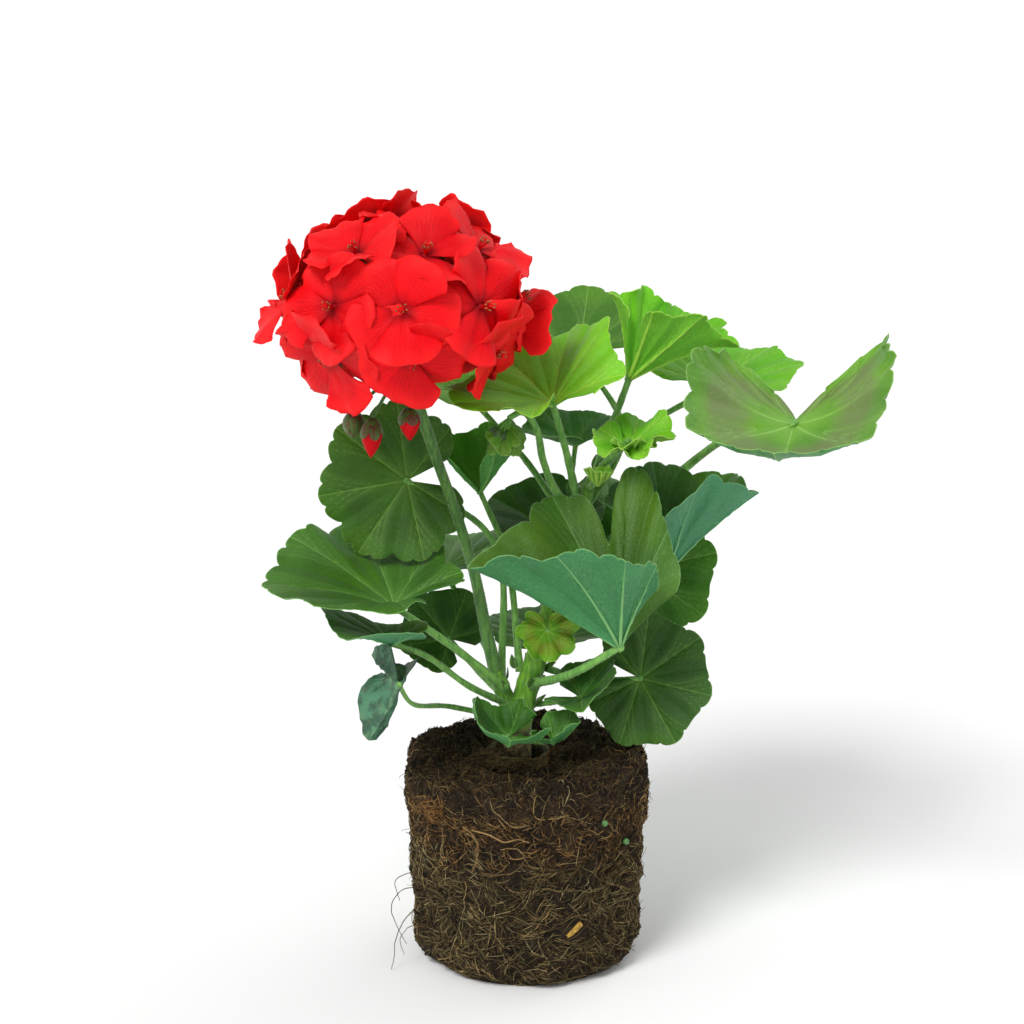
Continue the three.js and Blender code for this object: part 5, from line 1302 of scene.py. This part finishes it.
def root_ball():
    """Peat, roots and crumbs in one piece, and the fibres over it in two."""
    own = Skin()
    peat(own)
    rng = np.random.default_rng(11)
    for number in range(330):  # longer thin roots
        rise = rng.uniform(4, 62) if rng.uniform() < 0.75 else rng.uniform(62, 92)
        heading = rng.normal(0, 0.6) + (math.pi if rng.uniform() < 0.5 else 0)
        strand(own, rng.uniform(0, 2 * math.pi), rise, rng.uniform(9, 32), heading,
               rng.uniform(0.12, 0.3), rng.uniform(0.35, 0.95), number + 0.5, 4,
               rng.uniform(0.4, 1.0))
    for number in range(13):  # thicker roots that circle the ball
        strand(own, rng.uniform(0, 2 * math.pi), 5 + 58 * rng.uniform(), rng.uniform(26, 60),
               rng.normal(0, 0.25), rng.uniform(0.34, 0.5), rng.uniform(0.35, 0.6), number + 2000.5,
               6, 0.8, 0.9)
    for way, thick, tone in LOOSE_ROOTS:
        path = spline(way, 40)
        path = path + 0.35 * np.stack([rough(path, 3, 1, k * 5.1) for k in range(3)], -1)
        tube(own, path, thick * (1 - 0.45 * np.linspace(0, 1, 40)), 6, kind=1, tone=tone,
             olive=0.35)
    ball(own, ROOT_KNOT, (1.5, 1.1, 1.1), (0.1, 0, 1), 1, kind=1, bumps=0.2, tone=0.55, olive=0.3)
    for number in range(1500):  # crumbs of peat
        turn, rise = rng.uniform(0, 2 * math.pi), rng.uniform(4, 134)
        size = rng.uniform(0.3, 0.95) * (1.35 if rise > 86 else 1)
        base = ball_skin(turn, rise, 0.1)
        if np.linalg.norm(base - CHIP_PLACE) < 7:
            continue
        ball(own, base, (size, size * rng.uniform(0.6, 1), size * rng.uniform(0.6, 1)),
             rng.normal(0, 1, 3), 0, bumps=0.5)
    piece("root_ball_fine", own, [PEAT, ROOT], ["root_ball"])

    low = Skin()
    for band in LOW_FIBRES:
        fibres(low, rng, *band)
    piece("root_fibres_low", low, [PEAT, ROOT])

    high = Skin()
    for band in HIGH_FIBRES:
        fibres(high, rng, *band)
    for place, width, count, tones, olive in CLUMPS:
        for _ in range(count):
            start = np.array(place) + rng.normal(0, 1, 3) * width
            lean = unit(rng.normal(0, 1, 3) * width)
            path = spline([start - 2.6 * lean, start + rng.normal(0, 0.8, 3),
                           start + 2.6 * lean + rng.normal(0, 0.8, 3)], 7)
            tube(high, path, rng.uniform(0.1, 0.2), 3, kind=1, tone=rng.uniform(*tones),
                 olive=olive)
    piece("root_fibres_high", high, [PEAT, ROOT])


root_ball()


# ------------------------------------------------------------------ sleeve, pellets and chip
def sleeve():
    """The ragged rim of the plug's sleeve, with loose fibres on it."""
    own = Skin()
    inner = SLEEVE_RADIUS - SLEEVE_WALL
    cols = 160
    foot, low = SLEEVE_FLOOR + 0.3, SLEEVE_FLOOR + 1.5
    profile = np.array([
        (inner, foot), *((inner, z) for z in np.linspace(low, SLEEVE_TOP - 0.9, 8)),
        (inner + 0.5, SLEEVE_TOP - 0.25), (SLEEVE_RADIUS - 0.9, SLEEVE_TOP),
        (SLEEVE_RADIUS - 0.2, SLEEVE_TOP - 0.5),
        *((SLEEVE_RADIUS, z) for z in np.linspace(SLEEVE_TOP - 1.3, low, 8)),
        (SLEEVE_RADIUS, foot)])
    turns = 2 * math.pi * np.arange(cols) / cols
    grid = np.stack([SLEEVE_CENTRE[0] + profile[:, :1] * np.cos(turns),
                     SLEEVE_CENTRE[1] + profile[:, :1] * np.sin(turns),
                     np.broadcast_to(profile[:, 1:], (len(profile), cols))], -1).copy()
    out = np.stack([np.cos(turns), np.sin(turns), 0 * turns], -1)[None]
    ragged = 0.35 * rough(grid, 3, 2) + 0.2 * rough(grid, 1.2, 1, 5)
    high = np.clip((grid[..., 2] - 90) / 5, 0, 1)
    grid += out * (0.5 * ragged * high)[..., None]
    grid[..., 2] += high * (1.6 * ragged + 0.5 * np.sin(3 * turns + 1)[None])
    index = np.arange(len(profile) * cols).reshape(len(profile), cols)
    nxt, ahead = np.roll(index, -1, axis=1), np.roll(index, -1, axis=0)
    quads = np.stack([index, nxt, np.roll(nxt, -1, axis=0), ahead], -1).reshape(-1, 4)[:, ::-1]
    own.add(grid.reshape(-1, 3), quads)
    rng = np.random.default_rng(3)
    for _ in range(220):
        turn, height = rng.uniform(0, 2 * math.pi), rng.uniform(91, SLEEVE_TOP)
        flat = np.array([math.cos(turn), math.sin(turn)])
        base = np.array([*(SLEEVE_CENTRE + SLEEVE_RADIUS * flat), height])
        way = unit(np.array([-flat[1], flat[0], rng.normal(0, 0.6)]))
        reach = rng.uniform(0.8, 2.6)
        path = spline([base - way * reach, base + 0.25 * unit([*flat, 0]), base + way * reach], 5)
        tube(own, path, rng.uniform(0.07, 0.16), 4, kind=1, tone=rng.uniform(0.3, 0.9))
    piece("plug_sleeve_fine", own, [MOSS, ROOT], ["plug_sleeve"])


sleeve()
for number, place in enumerate(PELLETS):
    own = Skin()
    ball(own, place, (PELLET_RADIUS,) * 3, (0, 0, 1), 5, bumps=0.02)
    piece("pellet_%d_fine" % (number + 1), own, [PELLET], ["pellet_%d" % (number + 1)])


def chip():
    """A split sliver of wood with broken ends."""
    own = Skin()
    tilt, turn = math.radians(-35), math.radians(24)
    first = np.array([math.cos(tilt) * math.cos(turn), math.cos(tilt) * math.sin(turn),
                      -math.sin(tilt)])
    second = np.array([-math.sin(turn), math.cos(turn), 0])
    third = np.cross(first, second)
    rows, cols = 26, 20
    u = np.linspace(-1, 1, rows)[:, None]
    turn_angle = 2 * math.pi * np.arange(cols)[None] / cols
    square = np.maximum(np.abs(np.cos(turn_angle)), np.abs(np.sin(turn_angle))) ** -0.8
    slim = (1 - 0.25 * np.abs(u) ** 5) * (1 + 0.05 * np.sin(9 * u))
    wide = 0.5 * CHIP_SIZE[1] * square * np.cos(turn_angle) * slim
    high = 0.5 * CHIP_SIZE[2] * square * np.sin(turn_angle) * slim
    along_chip = 0.5 * CHIP_SIZE[0] * (u + 0.05 * np.sin(5 * turn_angle) * np.abs(u) ** 4)
    grid = (np.asarray(CHIP_PLACE, float) + along_chip[..., None] * first + wide[..., None] * second
            + high[..., None] * third)
    quads, tris = ring_faces(rows, cols)
    ends = [grid[0].mean(axis=0), grid[-1].mean(axis=0)]
    own.add(np.concatenate([grid.reshape(-1, 3), ends]), quads[:, ::-1], tris[:, ::-1])
    piece("wood_chip_fine", own, [CHIP], ["wood_chip"])


chip()


# ------------------------------------------------------------------ floor, light and camera
def stage():
    """A wide shallow dish of pale paper, so that every view ends in it."""
    mesh = bpy.data.meshes.new("studio_floor")
    rings = [(0.3, 0), (0.8, 0), (2, 0), (5, 0), (12, 0.7), (24, 4), (40, 10)]  # radius, height
    cols = 64
    turns = [2 * math.pi * k / cols for k in range(cols)]
    points = [(r * math.cos(turn), r * math.sin(turn), high) for r, high in rings for turn in turns]
    faces = [(len(points), k, (k + 1) % cols) for k in range(cols)]
    points.append((0.0, 0.0, 0.0))
    for low in range(0, (len(rings) - 1) * cols, cols):
        high = low + cols
        faces += [(low + k, high + k, high + (k + 1) % cols, low + (k + 1) % cols)
                  for k in range(cols)]
    mesh.from_pydata(points, [], faces)
    paint = Paint("studio_paper", 0.9, Specular_IOR_Level=0.1)
    paint.colour(paint.mix(paint.noise(400, 2), (0.9, 0.9, 0.9, 1), (0.93, 0.93, 0.93, 1)))
    mesh.materials.append(paint.material)
    floor = bpy.data.objects.new("studio_floor", mesh)
    bpy.context.scene.collection.objects.link(floor)


def sun(name, place, power, degrees):
    """A soft sun that shines from a place toward the middle of the plant."""
    light = bpy.data.lights.new(name, "SUN")
    light.energy = power
    light.angle = math.radians(degrees)
    made = bpy.data.objects.new(name, light)
    made.location = place
    aim = Vector((0.0, 0.0, 0.18)) - Vector(place)
    made.rotation_euler = aim.to_track_quat("-Z", "Y").to_euler()
    bpy.context.scene.collection.objects.link(made)


stage()
sun("key", (-0.7, -1.1, 1.6), 2.1, 24)
sun("rim", (1.0, 0.9, 1.4), 0.5, 40)
world = bpy.data.worlds.new("studio_world")
world.use_nodes = True
background = world.node_tree.nodes["Background"]
background.inputs["Color"].default_value = (1.0, 1.0, 1.0, 1.0)
background.inputs["Strength"].default_value = 0.58
bpy.context.scene.world = world
bpy.context.scene.view_settings.view_transform = "Standard"

CAMERA_TILT = 74.5  # degrees from straight down
camera = bpy.data.cameras.new("camera")
camera.lens = 99.25
camera.sensor_width = 36
camera.clip_end = 100
eye = bpy.data.objects.new("camera", camera)
eye.location = (-0.0066, -1.2, 0.54)
eye.rotation_euler = (math.radians(CAMERA_TILT), 0, 0)
bpy.context.scene.collection.objects.link(eye)
bpy.context.scene.camera = eye
